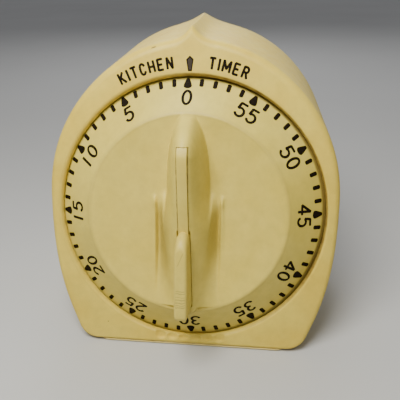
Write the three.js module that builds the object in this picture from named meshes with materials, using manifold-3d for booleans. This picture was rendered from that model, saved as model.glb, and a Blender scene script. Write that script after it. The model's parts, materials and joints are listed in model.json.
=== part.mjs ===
// A wind-up sixty minute kitchen timer: a cream moulded case that leans back, a coned dial with a fin-shaped
// knob, and inside it a spring driven movement with a pin-pallet escapement, a hammer and a bell.
//
// Millimetres, +Z up. The origin is the middle of the base plate's underside and the dial faces -Y.
// Most pieces are drawn in the face frame: x to the right, y into the case along the dial's axis,
// z up the sloping face, with its origin where the dial's axis crosses the circle of minute marks.
import * as THREE from "three";
import { mergeVertices } from "three/addons/utils/BufferGeometryUtils.js";
import Module from "manifold-3d";

const wasm = await Module();
wasm.setup();

// ---------------------------------------------------------------- driving dimensions

const GAP = 0.3; // clearance between pieces that touch
const ROUND = 12; // sides of a small round
const WIDE_ROUND = 40; // sides of the dial and its opening
const LEAN = THREE.MathUtils.degToRad(13.5); // how far the face leans back

const CASE_HALF_WIDTH = 45.2; // at the widest height of the case
const ARCH_HEIGHT = 48.75; // from the widest height to the top of the arch
const ARCH_CENTRE = 3.9; // the widest height, above the dial's axis
const TIP_RISE = 2.95; // the soft peak above the arch
const TIP_SPREAD = 3.1;
const CASE_DROP = 43.45; // from the dial's axis down to the case's lower edge
const CASE_TAPER = 9.8; // how much the half width shrinks down to the lower edge
const CASE_DEPTH = 58; // at the base
const CORNER = 7; // radius of the two lower corners
const WALL = 2.2;
const EDGE_RADIUS = 3; // rolled front edge
const FACE_FRONT = -1.2; // front plane of the case in the face frame

const OPENING_RADIUS = 40.8;
const OPENING_BEVEL = 1.5;
const FLUTE_COUNT = 6;
const FLUTE_PITCH = 3.5;
const FLUTE_RADIUS = 2.3;
const FLUTE_DEPTH = 0.9;

const BASE_THICKNESS = 0.7;
const BASE_HALF_WIDTH = 30.4;
const BASE_PEG_RADIUS = 1.5;

const DIAL_RADIUS = 41.3; // outer edge, under the case's opening
const DIAL_EDGE = 0.8; // thickness of that edge
const TICK_RADIUS = 39;
const DIAL_SLOPE = 0.664; // rise of the dial's cone per millimetre of radius
const DIAL_WALL = 1.8;
const RIM_RADIUS = 29.4; // where the cone ends and the bowl begins
const BOWL_HEIGHT = 2.6; // of the bowl's middle, in front of the minute marks
const HUB_RADIUS = 6;

const BOSS_HALF_WIDTH = 10.1;
const BOSS_TIP = 30; // top of the knob's boss
const BOSS_FOOT = -29.2;
const PEAK_Z = 20; // where the boss stands highest
const PEAK_HEIGHT = 17.6;
const CREST_FALL = 0.0984; // fall of the crest below its peak
const GRIP_HEIGHT = 19.4;
const GRIP_THICKNESS = 3.7;
const STRIP_THICKNESS = 3.1;

const ARBOR_RADIUS = 1.1;
const LEVER_RADIUS = 0.7; // half the width of the small levers
const HUB_ON_ARBOR = 2.4; // radius of the round eye that holds a lever or wheel on its arbor
const RIVET_RADIUS = 0.8;
const PILLAR_RADIUS = 2.2;
const PILLAR_NECK = 1.3;
const NUT_RADIUS = 2.8;
const NUT_HEIGHT = 1.6;
const POST_SCREW_RADIUS = 1.2;
const POST_SCREW_HEAD = 2.4;
const POST_SCREW_HOLE = POST_SCREW_RADIUS + 0.3;
const SLOT_HALF_WIDTH = 0.35; // of the screwdriver slots
const STEP_RADIUS = 1.5; // stepped-down end of the main arbor and of the riveted posts
const SPRING_POST_END = 1;
const STUD_RADIUS = 0.7;
const END_SHAKE = 0.1; // of an arbor between its plates
const MAIN_ARBOR_RADIUS = 2;
const PLATE_THICKNESS = 1.2;
const PLATE_RADIUS = 31;
const FRONT_PLATE_Y = 8; // front face of the movement's front plate
const PLATE_SPACING = 16; // between the two plates

const PRESSURE_ANGLE = THREE.MathUtils.degToRad(25);
const BACKLASH = 0.16; // taken off each tooth's thickness
const MAIN_TEETH = 40;
const SECOND_TEETH = 30;
const THIRD_TEETH = 30;
const PINION_TEETH = 10;
const MAIN_MODULE = 0.95;
const SECOND_MODULE = 0.84;
const THIRD_MODULE = 0.72;

const ESCAPE_TEETH = 15;
const ESCAPE_RADIUS = 8;
const BALANCE_RADIUS = 9.5;
const BELL_RADIUS = 19;
const BELL_DEPTH = 9;
const BELL_WALL = 1;

// ---------------------------------------------------------------- places that follow from them

const BACK_PLATE_Y = FRONT_PLATE_Y + PLATE_THICKNESS + PLATE_SPACING;
const MOVEMENT_END = BACK_PLATE_Y + PLATE_THICKNESS;
const BACK = CASE_DEPTH / 2; // the case's back plane, in the part's frame
const CASE_BOTTOM = BASE_THICKNESS + GAP;
const RIM_HEIGHT = (TICK_RADIUS - RIM_RADIUS) * DIAL_SLOPE;
const DIAL_EDGE_Y = (DIAL_RADIUS - TICK_RADIUS) * DIAL_SLOPE;
const FULL_TURN = Math.PI * 2;

const { sin, cos, tan, sqrt, abs, PI } = Math;

// The face frame's origin puts the case's lower front edge at the front of the base.
const face = new THREE.Group();
face.rotation.x = -LEAN;
face.position.y = -BACK + CASE_DROP * sin(LEAN) - FACE_FRONT * cos(LEAN);
face.position.z = CASE_BOTTOM + CASE_DROP * cos(LEAN) + FACE_FRONT * sin(LEAN);
face.updateMatrix();

const timer = new THREE.Group();
timer.name = "kitchen_timer";
timer.add(face);

function at(radius, degrees) {
  const angle = THREE.MathUtils.degToRad(degrees);
  return new THREE.Vector2(radius * cos(angle), radius * sin(angle));
}

// The arbors stand on a circle round the main arbor, each at its meshing distance from the last.
const SECOND_DISTANCE = ((MAIN_TEETH + PINION_TEETH) * MAIN_MODULE) / 2;
const THIRD_DISTANCE = ((SECOND_TEETH + PINION_TEETH) * SECOND_MODULE) / 2;
const ESCAPE_DISTANCE = ((THIRD_TEETH + PINION_TEETH) * THIRD_MODULE) / 2;
const PALLET_DISTANCE = ESCAPE_RADIUS + 2.5;
const BALANCE_DISTANCE = BALANCE_RADIUS + ARBOR_RADIUS + 1.4;

function chordAngle(distance) {
  return THREE.MathUtils.radToDeg(2 * Math.asin(distance / (2 * SECOND_DISTANCE)));
}

const SECOND_ANGLE = 175;
const THIRD_ANGLE = SECOND_ANGLE - chordAngle(THIRD_DISTANCE);
const ESCAPE_ANGLE = THIRD_ANGLE - chordAngle(ESCAPE_DISTANCE);
const PALLET_ANGLE = ESCAPE_ANGLE - chordAngle(PALLET_DISTANCE);
const BALANCE_ANGLE = PALLET_ANGLE - chordAngle(BALANCE_DISTANCE);

const MAIN = at(0, 0);
const SECOND = at(SECOND_DISTANCE, SECOND_ANGLE);
const THIRD = at(SECOND_DISTANCE, THIRD_ANGLE);
const ESCAPE = at(SECOND_DISTANCE, ESCAPE_ANGLE);
const PALLET = at(SECOND_DISTANCE, PALLET_ANGLE);
const BALANCE = at(SECOND_DISTANCE, BALANCE_ANGLE);
const HAMMER = at(SECOND_DISTANCE, -25);
const BELL = new THREE.Vector2(-4, -6);

// Pillars stand just inside the plates' edge, clear of the wheels.
const PILLARS = [at(35, 90), at(29.6, 11.5), at(31.9, -49), at(31.9, -131)];

// The movement hangs on three posts of the case, outside the dial's edge.
const LOW_POST_X = 31;
const POST_RADIUS = 2.6;
const POSTS = [
  new THREE.Vector2(0, DIAL_RADIUS + POST_RADIUS + 3),
  new THREE.Vector2(LOW_POST_X, -33),
  new THREE.Vector2(-LOW_POST_X, -33),
];

// ---------------------------------------------------------------- solids

// Closed geometry as a manifold-3d solid: shared corners merged, and the slivers at a lathe's axis left out.
function solid(geometry) {
  const bare = geometry.clone();
  bare.deleteAttribute("normal");
  bare.deleteAttribute("uv");
  const merged = mergeVertices(bare, 1e-4);
  const corners = merged.index.array;
  const kept = [];
  for (let i = 0; i < corners.length; i += 3) {
    const [a, b, c] = [corners[i], corners[i + 1], corners[i + 2]];
    if (a !== b && b !== c && c !== a) kept.push(a, b, c);
  }
  return new wasm.Manifold(
    new wasm.Mesh({
      numProp: 3,
      vertProperties: new Float32Array(merged.attributes.position.array),
      triVerts: new Uint32Array(kept),
    }),
  );
}

function join(...solids) {
  return solids.reduce((sum, next) => sum.add(next));
}

function cut(body, ...tools) {
  return tools.reduce((rest, tool) => rest.subtract(tool), body);
}

function geometryOf(body) {
  const mesh = body.getMesh();
  const geometry = new THREE.BufferGeometry();
  geometry.setAttribute("position", new THREE.BufferAttribute(mesh.vertProperties, 3));
  geometry.setIndex(new THREE.BufferAttribute(mesh.triVerts, 1));
  const shaded = geometry.toNonIndexed();
  shaded.computeVertexNormals();
  return shaded;
}

function add(parent, name, material, body) {
  const mesh = new THREE.Mesh(geometryOf(body), material.clone());
  mesh.name = name;
  parent.add(mesh);
}

// A shape drawn in the face plane, from y0 back to y1.
function slab(shape, y0, y1, segments = 5) {
  const geometry = new THREE.ExtrudeGeometry(shape, {
    depth: y1 - y0,
    bevelEnabled: false,
    curveSegments: segments,
  });
  return solid(geometry.rotateX(PI / 2).translate(0, y1, 0));
}

// A round rod along the dial's axis, from y0 back to y1, centred on a point of the face plane.
function rod(centre, radius, y0, y1, segments = ROUND) {
  const geometry = new THREE.CylinderGeometry(radius, radius, y1 - y0, segments);
  return solid(geometry.translate(centre.x, (y0 + y1) / 2, centre.y));
}

// A turned piece: its profile of [radius, y] points closes on itself or on the axis.
function turned(centre, profile, segments = ROUND) {
  const points = profile.map(([radius, y]) => new THREE.Vector2(radius, y));
  const geometry = new THREE.LatheGeometry([...points, points[0]], segments);
  return solid(geometry.translate(centre.x, 0, centre.y));
}

// A washer-like ring from y0 back to y1.
function ring(centre, inner, outer, y0, y1, segments = ROUND) {
  return turned(
    centre,
    [
      [inner, y0],
      [outer, y0],
      [outer, y1],
      [inner, y1],
    ],
    segments,
  );
}

function box(x0, x1, y0, y1, z0, z1) {
  const geometry = new THREE.BoxGeometry(x1 - x0, y1 - y0, z1 - z0);
  return solid(geometry.translate((x0 + x1) / 2, (y0 + y1) / 2, (z0 + z1) / 2));
}

// A bar with round ends between two points.
function capsule(a, b, radius) {
  const along = b.clone().sub(a).angle();
  const shape = new THREE.Shape();
  shape.absarc(b.x, b.y, radius, along - PI / 2, along + PI / 2);
  shape.absarc(a.x, a.y, radius, along + PI / 2, along + (PI * 3) / 2);
  return shape;
}

// A round wire along a smooth curve through points given as [x, y, z].
function wire(points, radius, steps) {
  const path = new THREE.CatmullRomCurve3(points.map((p) => new THREE.Vector3(...p)));
  const section = new THREE.Shape();
  section.absarc(0, 0, radius, 0, FULL_TURN);
  return solid(new THREE.ExtrudeGeometry(section, { steps, extrudePath: path, curveSegments: 2 }));
}

// ---------------------------------------------------------------- materials

function material(color, roughness, metalness) {
  return new THREE.MeshStandardMaterial({ color, roughness, metalness });
}

const CREAM = material(0xd9c894, 0.45, 0);
const PALE_CREAM = material(0xe0d3ab, 0.5, 0);
const BRASS = material(0xb5924a, 0.35, 1);
const STEEL = material(0x9a9ca0, 0.35, 1);
const SPRING_STEEL = material(0x5f6a78, 0.3, 1);
const ZINC = material(0xb9bbbd, 0.4, 1);

// ---------------------------------------------------------------- case

function lowerHalfWidth(z) {
  const drop = (ARCH_CENTRE - z) / (ARCH_CENTRE + CASE_DROP);
  return CASE_HALF_WIDTH - CASE_TAPER * drop ** 2.6;
}

// Half of the case's outline, from the middle of its lower edge round to its top.
function halfOutline(rise) {
  const half = [];
  // The corner's arc leaves the level edge and ends where it runs along the side's slope.
  const cornerZ = CORNER - CASE_DROP;
  const slope = Math.atan(lowerHalfWidth(cornerZ + 0.5) - lowerHalfWidth(cornerZ - 0.5));
  const sideZ = cornerZ - CORNER * sin(slope);
  const cornerX = lowerHalfWidth(sideZ) - CORNER * cos(slope);
  for (let i = 0; i <= 3; i++) {
    const turn = (i / 4) * (PI / 2 - slope);
    half.push([cornerX + CORNER * sin(turn), cornerZ - CORNER * cos(turn)]);
  }
  for (let i = 0; i < 6; i++) {
    const z = THREE.MathUtils.lerp(sideZ, ARCH_CENTRE, i / 6);
    half.push([lowerHalfWidth(z), z]);
  }
  for (let i = 0; i < 12; i++) {
    const turn = (i / 12) * (PI / 2) * 0.9;
    half.push([CASE_HALF_WIDTH * cos(turn), ARCH_CENTRE + ARCH_HEIGHT * sin(turn)]);
  }
  for (const x of [5.6, 3.6, 2.2, 1, 0]) {
    const arch = ARCH_CENTRE + ARCH_HEIGHT * sqrt(1 - (x / CASE_HALF_WIDTH) ** 2);
    half.push([x, arch + rise * Math.exp(-((x / TIP_SPREAD) ** 1.35))]);
  }
  return half;
}

// The whole outline as points, moved inwards by the inset.
function caseOutline(inset, rise) {
  const right = halfOutline(rise);
  const left = right.slice(0, -1).reverse();
  const loop = [...right, ...left.map(([x, z]) => [-x, z])].map(([x, z]) => new THREE.Vector2(x, z));
  return loop.map((point, i) => {
    const before = loop[(i + loop.length - 1) % loop.length];
    const after = loop[(i + 1) % loop.length];
    const along = after.clone().sub(before).normalize();
    return new THREE.Vector2(point.x - along.y * inset, point.y + along.x * inset);
  });
}

// A prism of the outline that runs level towards the back, in the part's frame.
function levelPrism(outline, front, roll) {
  const depth = CASE_DEPTH * 2;
  const geometry = new THREE.ExtrudeGeometry(new THREE.Shape(outline), {
    depth,
    bevelEnabled: roll > 0,
    bevelThickness: roll,
    bevelSize: roll,
    bevelOffset: -roll,
    bevelSegments: 2,
  });
  geometry.rotateX(PI / 2).translate(0, front + depth + roll, 0);
  geometry.translate(0, -FACE_FRONT, 0);
  geometry.applyMatrix4(new THREE.Matrix4().makeShear(0, 0, 0, tan(LEAN), 0, 0));
  geometry.translate(0, FACE_FRONT, 0);
  return solid(geometry.applyMatrix4(face.matrix));
}

// Moves a face-frame solid to the part's frame.
function inPartFrame(body) {
  return solid(geometryOf(body).applyMatrix4(face.matrix));
}

const COVER_THICKNESS = 2.2;
const COVER_SCREW_RADIUS = 1.4;
const HEAD_RADIUS = 2.7;
const HEAD_HEIGHT = 1;
const SCREW_LENGTH = 9;
const SCREW_BOSS_RADIUS = HEAD_RADIUS + 1.6;
const LOW_SCREW_HEIGHT = CASE_BOTTOM + Math.max(CORNER + 1.5, WALL + HEAD_RADIUS + 2.4);

// Where a cover screw's head just clears the side wall, as [x, z] in the part's frame.
function coverScrew(side, height) {
  const z = (height - face.position.z + FACE_FRONT * sin(LEAN)) / cos(LEAN);
  const inside = lowerHalfWidth(Math.min(z, ARCH_CENTRE)) - WALL - GAP;
  return [side * (inside - HEAD_RADIUS - 1), height];
}

const COVER_SCREWS = [
  coverScrew(1, face.position.z + 3),
  coverScrew(-1, face.position.z + 3),
  coverScrew(1, LOW_SCREW_HEIGHT),
  coverScrew(-1, LOW_SCREW_HEIGHT),
];

function rodBack(x, z, radius, y0, y1) {
  const geometry = new THREE.CylinderGeometry(radius, radius, y1 - y0, ROUND);
  return solid(geometry.translate(x, (y0 + y1) / 2, z));
}

function beyondBack() {
  return box(-100, 100, BACK, BACK + 200, -100, 200);
}

function rodUp(x, y, radius, z0, z1) {
  const geometry = new THREE.CylinderGeometry(radius, radius, z1 - z0, ROUND);
  return solid(geometry.rotateX(PI / 2).translate(x, y, (z0 + z1) / 2));
}

const BASE_PEGS = [
  [22, 18],
  [-22, 18],
  [22, -20],
  [-22, -20],
];

function dialOpening() {
  const wide = OPENING_RADIUS + OPENING_BEVEL * 2;
  return turned(
    MAIN,
    [
      [0, FACE_FRONT - OPENING_BEVEL],
      [wide, FACE_FRONT - OPENING_BEVEL],
      [OPENING_RADIUS, FACE_FRONT + OPENING_BEVEL],
      [OPENING_RADIUS, FACE_FRONT + WALL + 0.5],
      [0, FACE_FRONT + WALL + 0.5],
    ],
    WIDE_ROUND,
  );
}

// Upright grooves under the opening.
function flutes() {
  const first = (-(FLUTE_COUNT - 1) * FLUTE_PITCH) / 2;
  const tools = [];
  for (let i = 0; i < FLUTE_COUNT; i++) {
    const groove = new THREE.CylinderGeometry(FLUTE_RADIUS, FLUTE_RADIUS, 12, ROUND).rotateX(PI / 2);
    const y = FACE_FRONT - FLUTE_RADIUS + FLUTE_DEPTH;
    tools.push(solid(groove.translate(first + i * FLUTE_PITCH, y, -CASE_DROP)));
  }
  return join(...tools);
}

function buildCase() {
  const inside = FACE_FRONT + WALL;
  const arch = levelPrism(caseOutline(0, 0), FACE_FRONT, EDGE_RADIUS);
  const ridge = levelPrism(caseOutline(0, TIP_RISE), FACE_FRONT + EDGE_RADIUS / 2, 0);
  const keep = box(-9, 9, -200, 200, face.position.z + ARCH_CENTRE, 300);
  const cavity = levelPrism(caseOutline(WALL, 0), inside, 0);
  let shell = cut(join(arch, ridge.intersect(keep)), beyondBack(), cavity);

  const posts = POSTS.map((p) => rod(p, POST_RADIUS, inside - WALL / 2, FRONT_PLATE_Y - GAP));
  const bores = POSTS.map((p) => rod(p, POST_SCREW_HOLE, inside, FRONT_PLATE_Y + 1));
  shell = cut(join(shell, ...posts.map(inPartFrame)), ...bores.map(inPartFrame));
  // The walls are relieved where the dial's edge turns past them, from its front to its back.
  const reliefFront = (OPENING_RADIUS - TICK_RADIUS) * DIAL_SLOPE - GAP;
  const relief = rod(MAIN, DIAL_RADIUS + GAP, reliefFront, DIAL_EDGE_Y + DIAL_EDGE + GAP, WIDE_ROUND);
  shell = cut(shell, ...[dialOpening(), flutes(), relief].map(inPartFrame));

  const coverFace = BACK - COVER_THICKNESS - GAP;
  for (const [x, z] of COVER_SCREWS) {
    shell = join(shell, rodBack(x, z, SCREW_BOSS_RADIUS, coverFace - 12, coverFace));
    shell = cut(shell, rodBack(x, z, COVER_SCREW_RADIUS + GAP, coverFace - 10, BACK));
  }
  for (const [x, y] of BASE_PEGS) {
    shell = cut(shell, rodUp(x, y, BASE_PEG_RADIUS + GAP, 0, CASE_BOTTOM + WALL * 2));
  }
  add(timer, "case_shell", CREAM, shell);
}

function buildBase() {
  const y0 = -BACK + 0.3;
  const y1 = BACK - 0.6;
  const plate = new THREE.Shape();
  const r = 3;
  plate.moveTo(-BASE_HALF_WIDTH + r, y0);
  plate.absarc(BASE_HALF_WIDTH - r, y0 + r, r, -PI / 2, 0);
  plate.absarc(BASE_HALF_WIDTH - r, y1 - r, r, 0, PI / 2);
  plate.absarc(-BASE_HALF_WIDTH + r, y1 - r, r, PI / 2, PI);
  plate.absarc(-BASE_HALF_WIDTH + r, y0 + r, r, PI, (PI * 3) / 2);
  const flat = new THREE.ExtrudeGeometry(plate, {
    depth: BASE_THICKNESS,
    bevelEnabled: false,
    curveSegments: 4,
  });
  const top = CASE_BOTTOM + WALL + 0.8;
  const pegs = BASE_PEGS.map(([x, y]) => rodUp(x, y, BASE_PEG_RADIUS, BASE_THICKNESS / 2, top));
  add(timer, "base_plate", PALE_CREAM, join(solid(flat), ...pegs));
}

function buildBackCover() {
  const outline = caseOutline(WALL + GAP, 0);
  const inner = BACK - COVER_THICKNESS;
  let cover = levelPrism(outline, FACE_FRONT, 0).intersect(box(-100, 100, inner, BACK, -100, 200));
  for (const [x, z] of COVER_SCREWS) {
    cover = cut(cover, rodBack(x, z, COVER_SCREW_RADIUS + GAP, inner - 1, BACK + 1));
    cover = cut(cover, rodBack(x, z, HEAD_RADIUS + GAP, BACK - HEAD_HEIGHT - GAP, BACK + 1));
  }
  // Sound slots behind the bell.
  for (let i = -2; i <= 2; i++) {
    const z = face.position.z - 4 + i * 6;
    const reach = 17 - abs(i) * 2.5;
    const slot = capsule(new THREE.Vector2(-reach, z), new THREE.Vector2(reach, z), 1.2);
    cover = cut(cover, slab(slot, inner - 1, BACK + 1, 4));
  }
  add(timer, "back_cover", CREAM, cover);

  COVER_SCREWS.forEach(([x, z], i) => {
    const head = rodBack(x, z, HEAD_RADIUS, BACK - HEAD_HEIGHT, BACK);
    const shank = rodBack(x, z, COVER_SCREW_RADIUS, BACK - SCREW_LENGTH, BACK - HEAD_HEIGHT / 2);
    const slot = box(
      x - HEAD_RADIUS,
      x + HEAD_RADIUS,
      BACK - HEAD_HEIGHT / 2,
      BACK + 1,
      z - SLOT_HALF_WIDTH,
      z + SLOT_HALF_WIDTH,
    );
    add(timer, `back_cover_screw_${i + 1}`, ZINC, cut(join(head, shank), slot));
  });
}

// ---------------------------------------------------------------- dial and knob

// Heights are measured forwards from the minute marks' circle.
function bowlHeight(radius) {
  return BOWL_HEIGHT + (RIM_HEIGHT - BOWL_HEIGHT) * (radius / RIM_RADIUS) ** 2;
}

// The line along the top of the knob's boss.
function crestHeight(z) {
  if (z > PEAK_Z) {
    const share = (z - PEAK_Z) / (BOSS_TIP - PEAK_Z);
    return RIM_HEIGHT + (PEAK_HEIGHT - RIM_HEIGHT) * sqrt(Math.max(0, 1 - share * share));
  }
  return PEAK_HEIGHT - CREST_FALL * (PEAK_Z - z) ** 1.2;
}

function bossHalfWidth(z) {
  if (z < 1.2) return BOSS_HALF_WIDTH;
  const share = (z - 1.2) / (BOSS_TIP + 0.4 - 1.2);
  return BOSS_HALF_WIDTH * sqrt(1 - share * share);
}

// The boss's surface: a rounded nose above, and two finger scoops beside the grip below.
function bossHeight(u, z) {
  const low = bowlHeight(Math.min(abs(z), RIM_RADIUS));
  const crest = crestHeight(z);
  const across = sqrt(Math.max(0, 1 - abs(u) ** 2.6));
  const below = THREE.MathUtils.smoothstep(-z, -9, 0) * (1 - THREE.MathUtils.smoothstep(-z, 4, 28));
  const edge = 0.6 * below;
  const dip = THREE.MathUtils.smoothstep(abs(u), 0.28, 0.55);
  const hollow = dip - THREE.MathUtils.smoothstep(abs(u), 0.72, 0.97);
  return low + (crest - low) * (edge + (1 - edge) * across - 0.5 * below * hollow);
}

// The boss as a closed block whose front is bent to its surface; the inset makes it smaller all round.
function bossBlock(inset, back) {
  const geometry = new THREE.BoxGeometry(2, 1, 1, 10, 1, 14);
  const place = geometry.getAttribute("position");
  const foot = BOSS_FOOT + inset;
  const tip = BOSS_TIP - inset;
  for (let i = 0; i < place.count; i++) {
    const u = place.getX(i);
    const z = THREE.MathUtils.lerp(foot, tip, place.getZ(i) + 0.5);
    const x = u * Math.max(bossHalfWidth(z) - inset, 0.3);
    const front = place.getY(i) < 0;
    place.setXYZ(i, x, front ? inset - bossHeight(u, z) : back, z);
  }
  return solid(geometry);
}

// The grip insert's side view: a flush strip above and a raised blade below.
const STRIP_TOP = 21;
const BLADE_TOP = -3.3;
const BLADE_FOOT = -27.3;
const INSERT_BACK = 8.8; // height of its hidden inner edge

function stripProfile(grow) {
  const shape = new THREE.Shape();
  shape.moveTo(STRIP_TOP + grow, INSERT_BACK - grow);
  for (let i = 0; i <= 6; i++) {
    const z = THREE.MathUtils.lerp(STRIP_TOP + grow, BLADE_TOP - 4, i / 6);
    shape.lineTo(z, crestHeight(z) + 0.1 + grow * 20);
  }
  shape.lineTo(BLADE_TOP - 4, INSERT_BACK - grow);
  return shape;
}

function bladeProfile(grow) {
  const shape = new THREE.Shape();
  const top = GRIP_HEIGHT + grow * 20;
  shape.moveTo(BLADE_TOP + grow, INSERT_BACK - grow);
  shape.lineTo(BLADE_TOP + grow, top - 5.4);
  shape.quadraticCurveTo(BLADE_TOP + grow - 0.6, top, BLADE_TOP + grow - 5, top);
  shape.lineTo(BLADE_FOOT - grow + 2.5, top);
  shape.quadraticCurveTo(BLADE_FOOT - grow, top, BLADE_FOOT - grow, top - 2.5);
  shape.lineTo(BLADE_FOOT - grow, INSERT_BACK - grow);
  return shape;
}

// A side view in (z, height) turned into a slab across x.
function acrossX(shape, thickness) {
  const geometry = new THREE.ExtrudeGeometry(shape, {
    depth: thickness,
    bevelEnabled: false,
    curveSegments: 4,
  });
  geometry.translate(0, 0, -thickness / 2);
  const turn = new THREE.Matrix4().makeBasis(
    new THREE.Vector3(0, 0, 1),
    new THREE.Vector3(0, -1, 0),
    new THREE.Vector3(1, 0, 0),
  );
  return solid(geometry.applyMatrix4(turn));
}

function gripInsert(grow) {
  return join(
    acrossX(stripProfile(grow), STRIP_THICKNESS + grow * 2),
    acrossX(bladeProfile(grow), GRIP_THICKNESS + grow * 2),
  );
}

const BUSH_RADIUS = MAIN_ARBOR_RADIUS + 1;
const ARBOR_FRONT = -6; // front end of the main arbor, inside the knob
const HUB_BACK = 6.4;

function dialShell() {
  const front = [];
  for (let i = 0; i <= 4; i++) {
    const radius = (RIM_RADIUS * i) / 4;
    front.push([radius, -bowlHeight(radius)]);
  }
  const back = front.map(([radius, y]) => [radius, y + DIAL_WALL]).reverse();
  return turned(
    MAIN,
    [
      ...front,
      [DIAL_RADIUS, DIAL_EDGE_Y],
      [DIAL_RADIUS, DIAL_EDGE_Y + DIAL_EDGE],
      [RIM_RADIUS, DIAL_WALL * 1.2 - RIM_HEIGHT],
      ...back.slice(1),
    ],
    WIDE_ROUND,
  );
}

function buildDial() {
  const hub = rod(MAIN, HUB_RADIUS, -PEAK_HEIGHT + 4, HUB_BACK, 16);
  const block = bossBlock(0, 0.4 - BOWL_HEIGHT);
  const hollow = bossBlock(DIAL_WALL, 2);
  let dial = cut(join(dialShell(), block), hollow);
  dial = join(dial, hub.intersect(bossBlock(DIAL_WALL / 2, HUB_BACK)));
  dial = cut(dial, gripInsert(GAP), rod(MAIN, BUSH_RADIUS + GAP, ARBOR_FRONT - 0.5, HUB_BACK + 1));
  add(face, "dial", CREAM, dial);
  add(face, "knob_grip", CREAM, gripInsert(0));
  const bush = ring(MAIN, MAIN_ARBOR_RADIUS + GAP, BUSH_RADIUS, ARBOR_FRONT, HUB_BACK - GAP);
  add(face, "dial_bush", BRASS, bush);
  const washer = ring(MAIN, MAIN_ARBOR_RADIUS + GAP, 5, HUB_BACK + GAP, FRONT_PLATE_Y - GAP);
  add(face, "dial_washer", SPRING_STEEL, washer);
}

// ---------------------------------------------------------------- movement

// Half of a tooth's thickness as an angle, at a radius, for an involute flank.
function toothAngle(radius, pitchRadius, thickness) {
  const baseRadius = pitchRadius * cos(PRESSURE_ANGLE);
  const pressure = Math.acos(Math.min(1, baseRadius / radius));
  const involute = (angle) => tan(angle) - angle;
  return thickness / (2 * pitchRadius) + involute(PRESSURE_ANGLE) - involute(pressure);
}

// A spur gear's outline round a centre, with the middle of one tooth at the phase angle.
function gearShape(centre, teeth, size, phase, bore) {
  const pitchRadius = (teeth * size) / 2;
  const thickness = (PI * size) / 2 - BACKLASH;
  const flank = [pitchRadius - 1.15 * size, pitchRadius, pitchRadius + 0.8 * size].map((radius) => [
    radius,
    toothAngle(radius, pitchRadius, thickness),
  ]);
  const points = [];
  for (let i = 0; i < teeth; i++) {
    const middle = phase + (i * FULL_TURN) / teeth;
    const rising = flank.map(([r, a]) => [r, middle - a]);
    const falling = flank.map(([r, a]) => [r, middle + a]).reverse();
    for (const [r, a] of [...rising, ...falling]) {
      points.push(new THREE.Vector2(centre.x + r * cos(a), centre.y + r * sin(a)));
    }
  }
  return pierced(new THREE.Shape(points), centre, bore);
}

function pierced(shape, centre, bore) {
  if (bore > 0) shape.holes.push(new THREE.Path().absarc(centre.x, centre.y, bore, 0, FULL_TURN));
  return shape;
}

function angleTo(from, to) {
  return to.clone().sub(from).angle();
}

// A wheel's tooth points at the next pinion, whose gap points back at it.
function wheelShape(centre, next, teeth, size, bore) {
  return gearShape(centre, teeth, size, angleTo(centre, next), bore);
}

function pinionShape(centre, previous, size) {
  return gearShape(centre, PINION_TEETH, size, angleTo(centre, previous) + PI / PINION_TEETH, 0);
}

const PIVOT_CLEARANCE = 0.1;

function plateHoles(y0, y1, extra) {
  const arbors = [SECOND, THIRD, ESCAPE, PALLET, BALANCE, HAMMER];
  const holes = arbors.map((p) => rod(p, ARBOR_RADIUS + PIVOT_CLEARANCE, y0, y1, 10));
  PILLARS.forEach((p) => holes.push(rod(p, PILLAR_NECK + GAP, y0, y1, 8)));
  return [...holes, ...extra];
}

function buildPlates() {
  const y1 = FRONT_PLATE_Y + PLATE_THICKNESS;
  const disc = new THREE.Shape().absarc(0, 0, PLATE_RADIUS, 0, FULL_TURN);
  // An ear reaches from inside the disc to each post and pillar.
  const ears = (places, radius, start, end) =>
    places.map((p) => slab(capsule(p.clone().multiplyScalar(0.6), p, radius), start, end));
  const front = join(
    slab(disc, FRONT_PLATE_Y, y1, 16),
    ...ears(POSTS, 4, FRONT_PLATE_Y, y1),
    ...ears(PILLARS, 3.8, FRONT_PLATE_Y, y1),
  );
  const frontExtra = POSTS.map((p) => rod(p, POST_SCREW_HOLE, FRONT_PLATE_Y - 1, y1 + 1));
  frontExtra.push(rod(MAIN, MAIN_ARBOR_RADIUS + PIVOT_CLEARANCE, FRONT_PLATE_Y - 1, y1 + 1, 16));
  const frontHoles = plateHoles(FRONT_PLATE_Y - 1, y1 + 1, frontExtra);
  add(face, "movement_front_plate", BRASS, cut(front, ...frontHoles));

  const back = join(
    slab(disc, BACK_PLATE_Y, MOVEMENT_END, 16),
    ...ears(PILLARS, 3.8, BACK_PLATE_Y, MOVEMENT_END),
  );
  const [h0, h1] = [BACK_PLATE_Y - 1, MOVEMENT_END + 1];
  const backExtra = [
    rod(MAIN, STEP_RADIUS + PIVOT_CLEARANCE, h0, h1),
    rod(BELL, STEP_RADIUS + GAP, h0, h1),
    rod(SPRING_POST, SPRING_POST_END + GAP, h0, h1),
    rod(STUD, STUD_RADIUS + GAP, h0, h1),
  ];
  add(face, "movement_back_plate", BRASS, cut(back, ...plateHoles(h0, h1, backExtra)));
}

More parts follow.
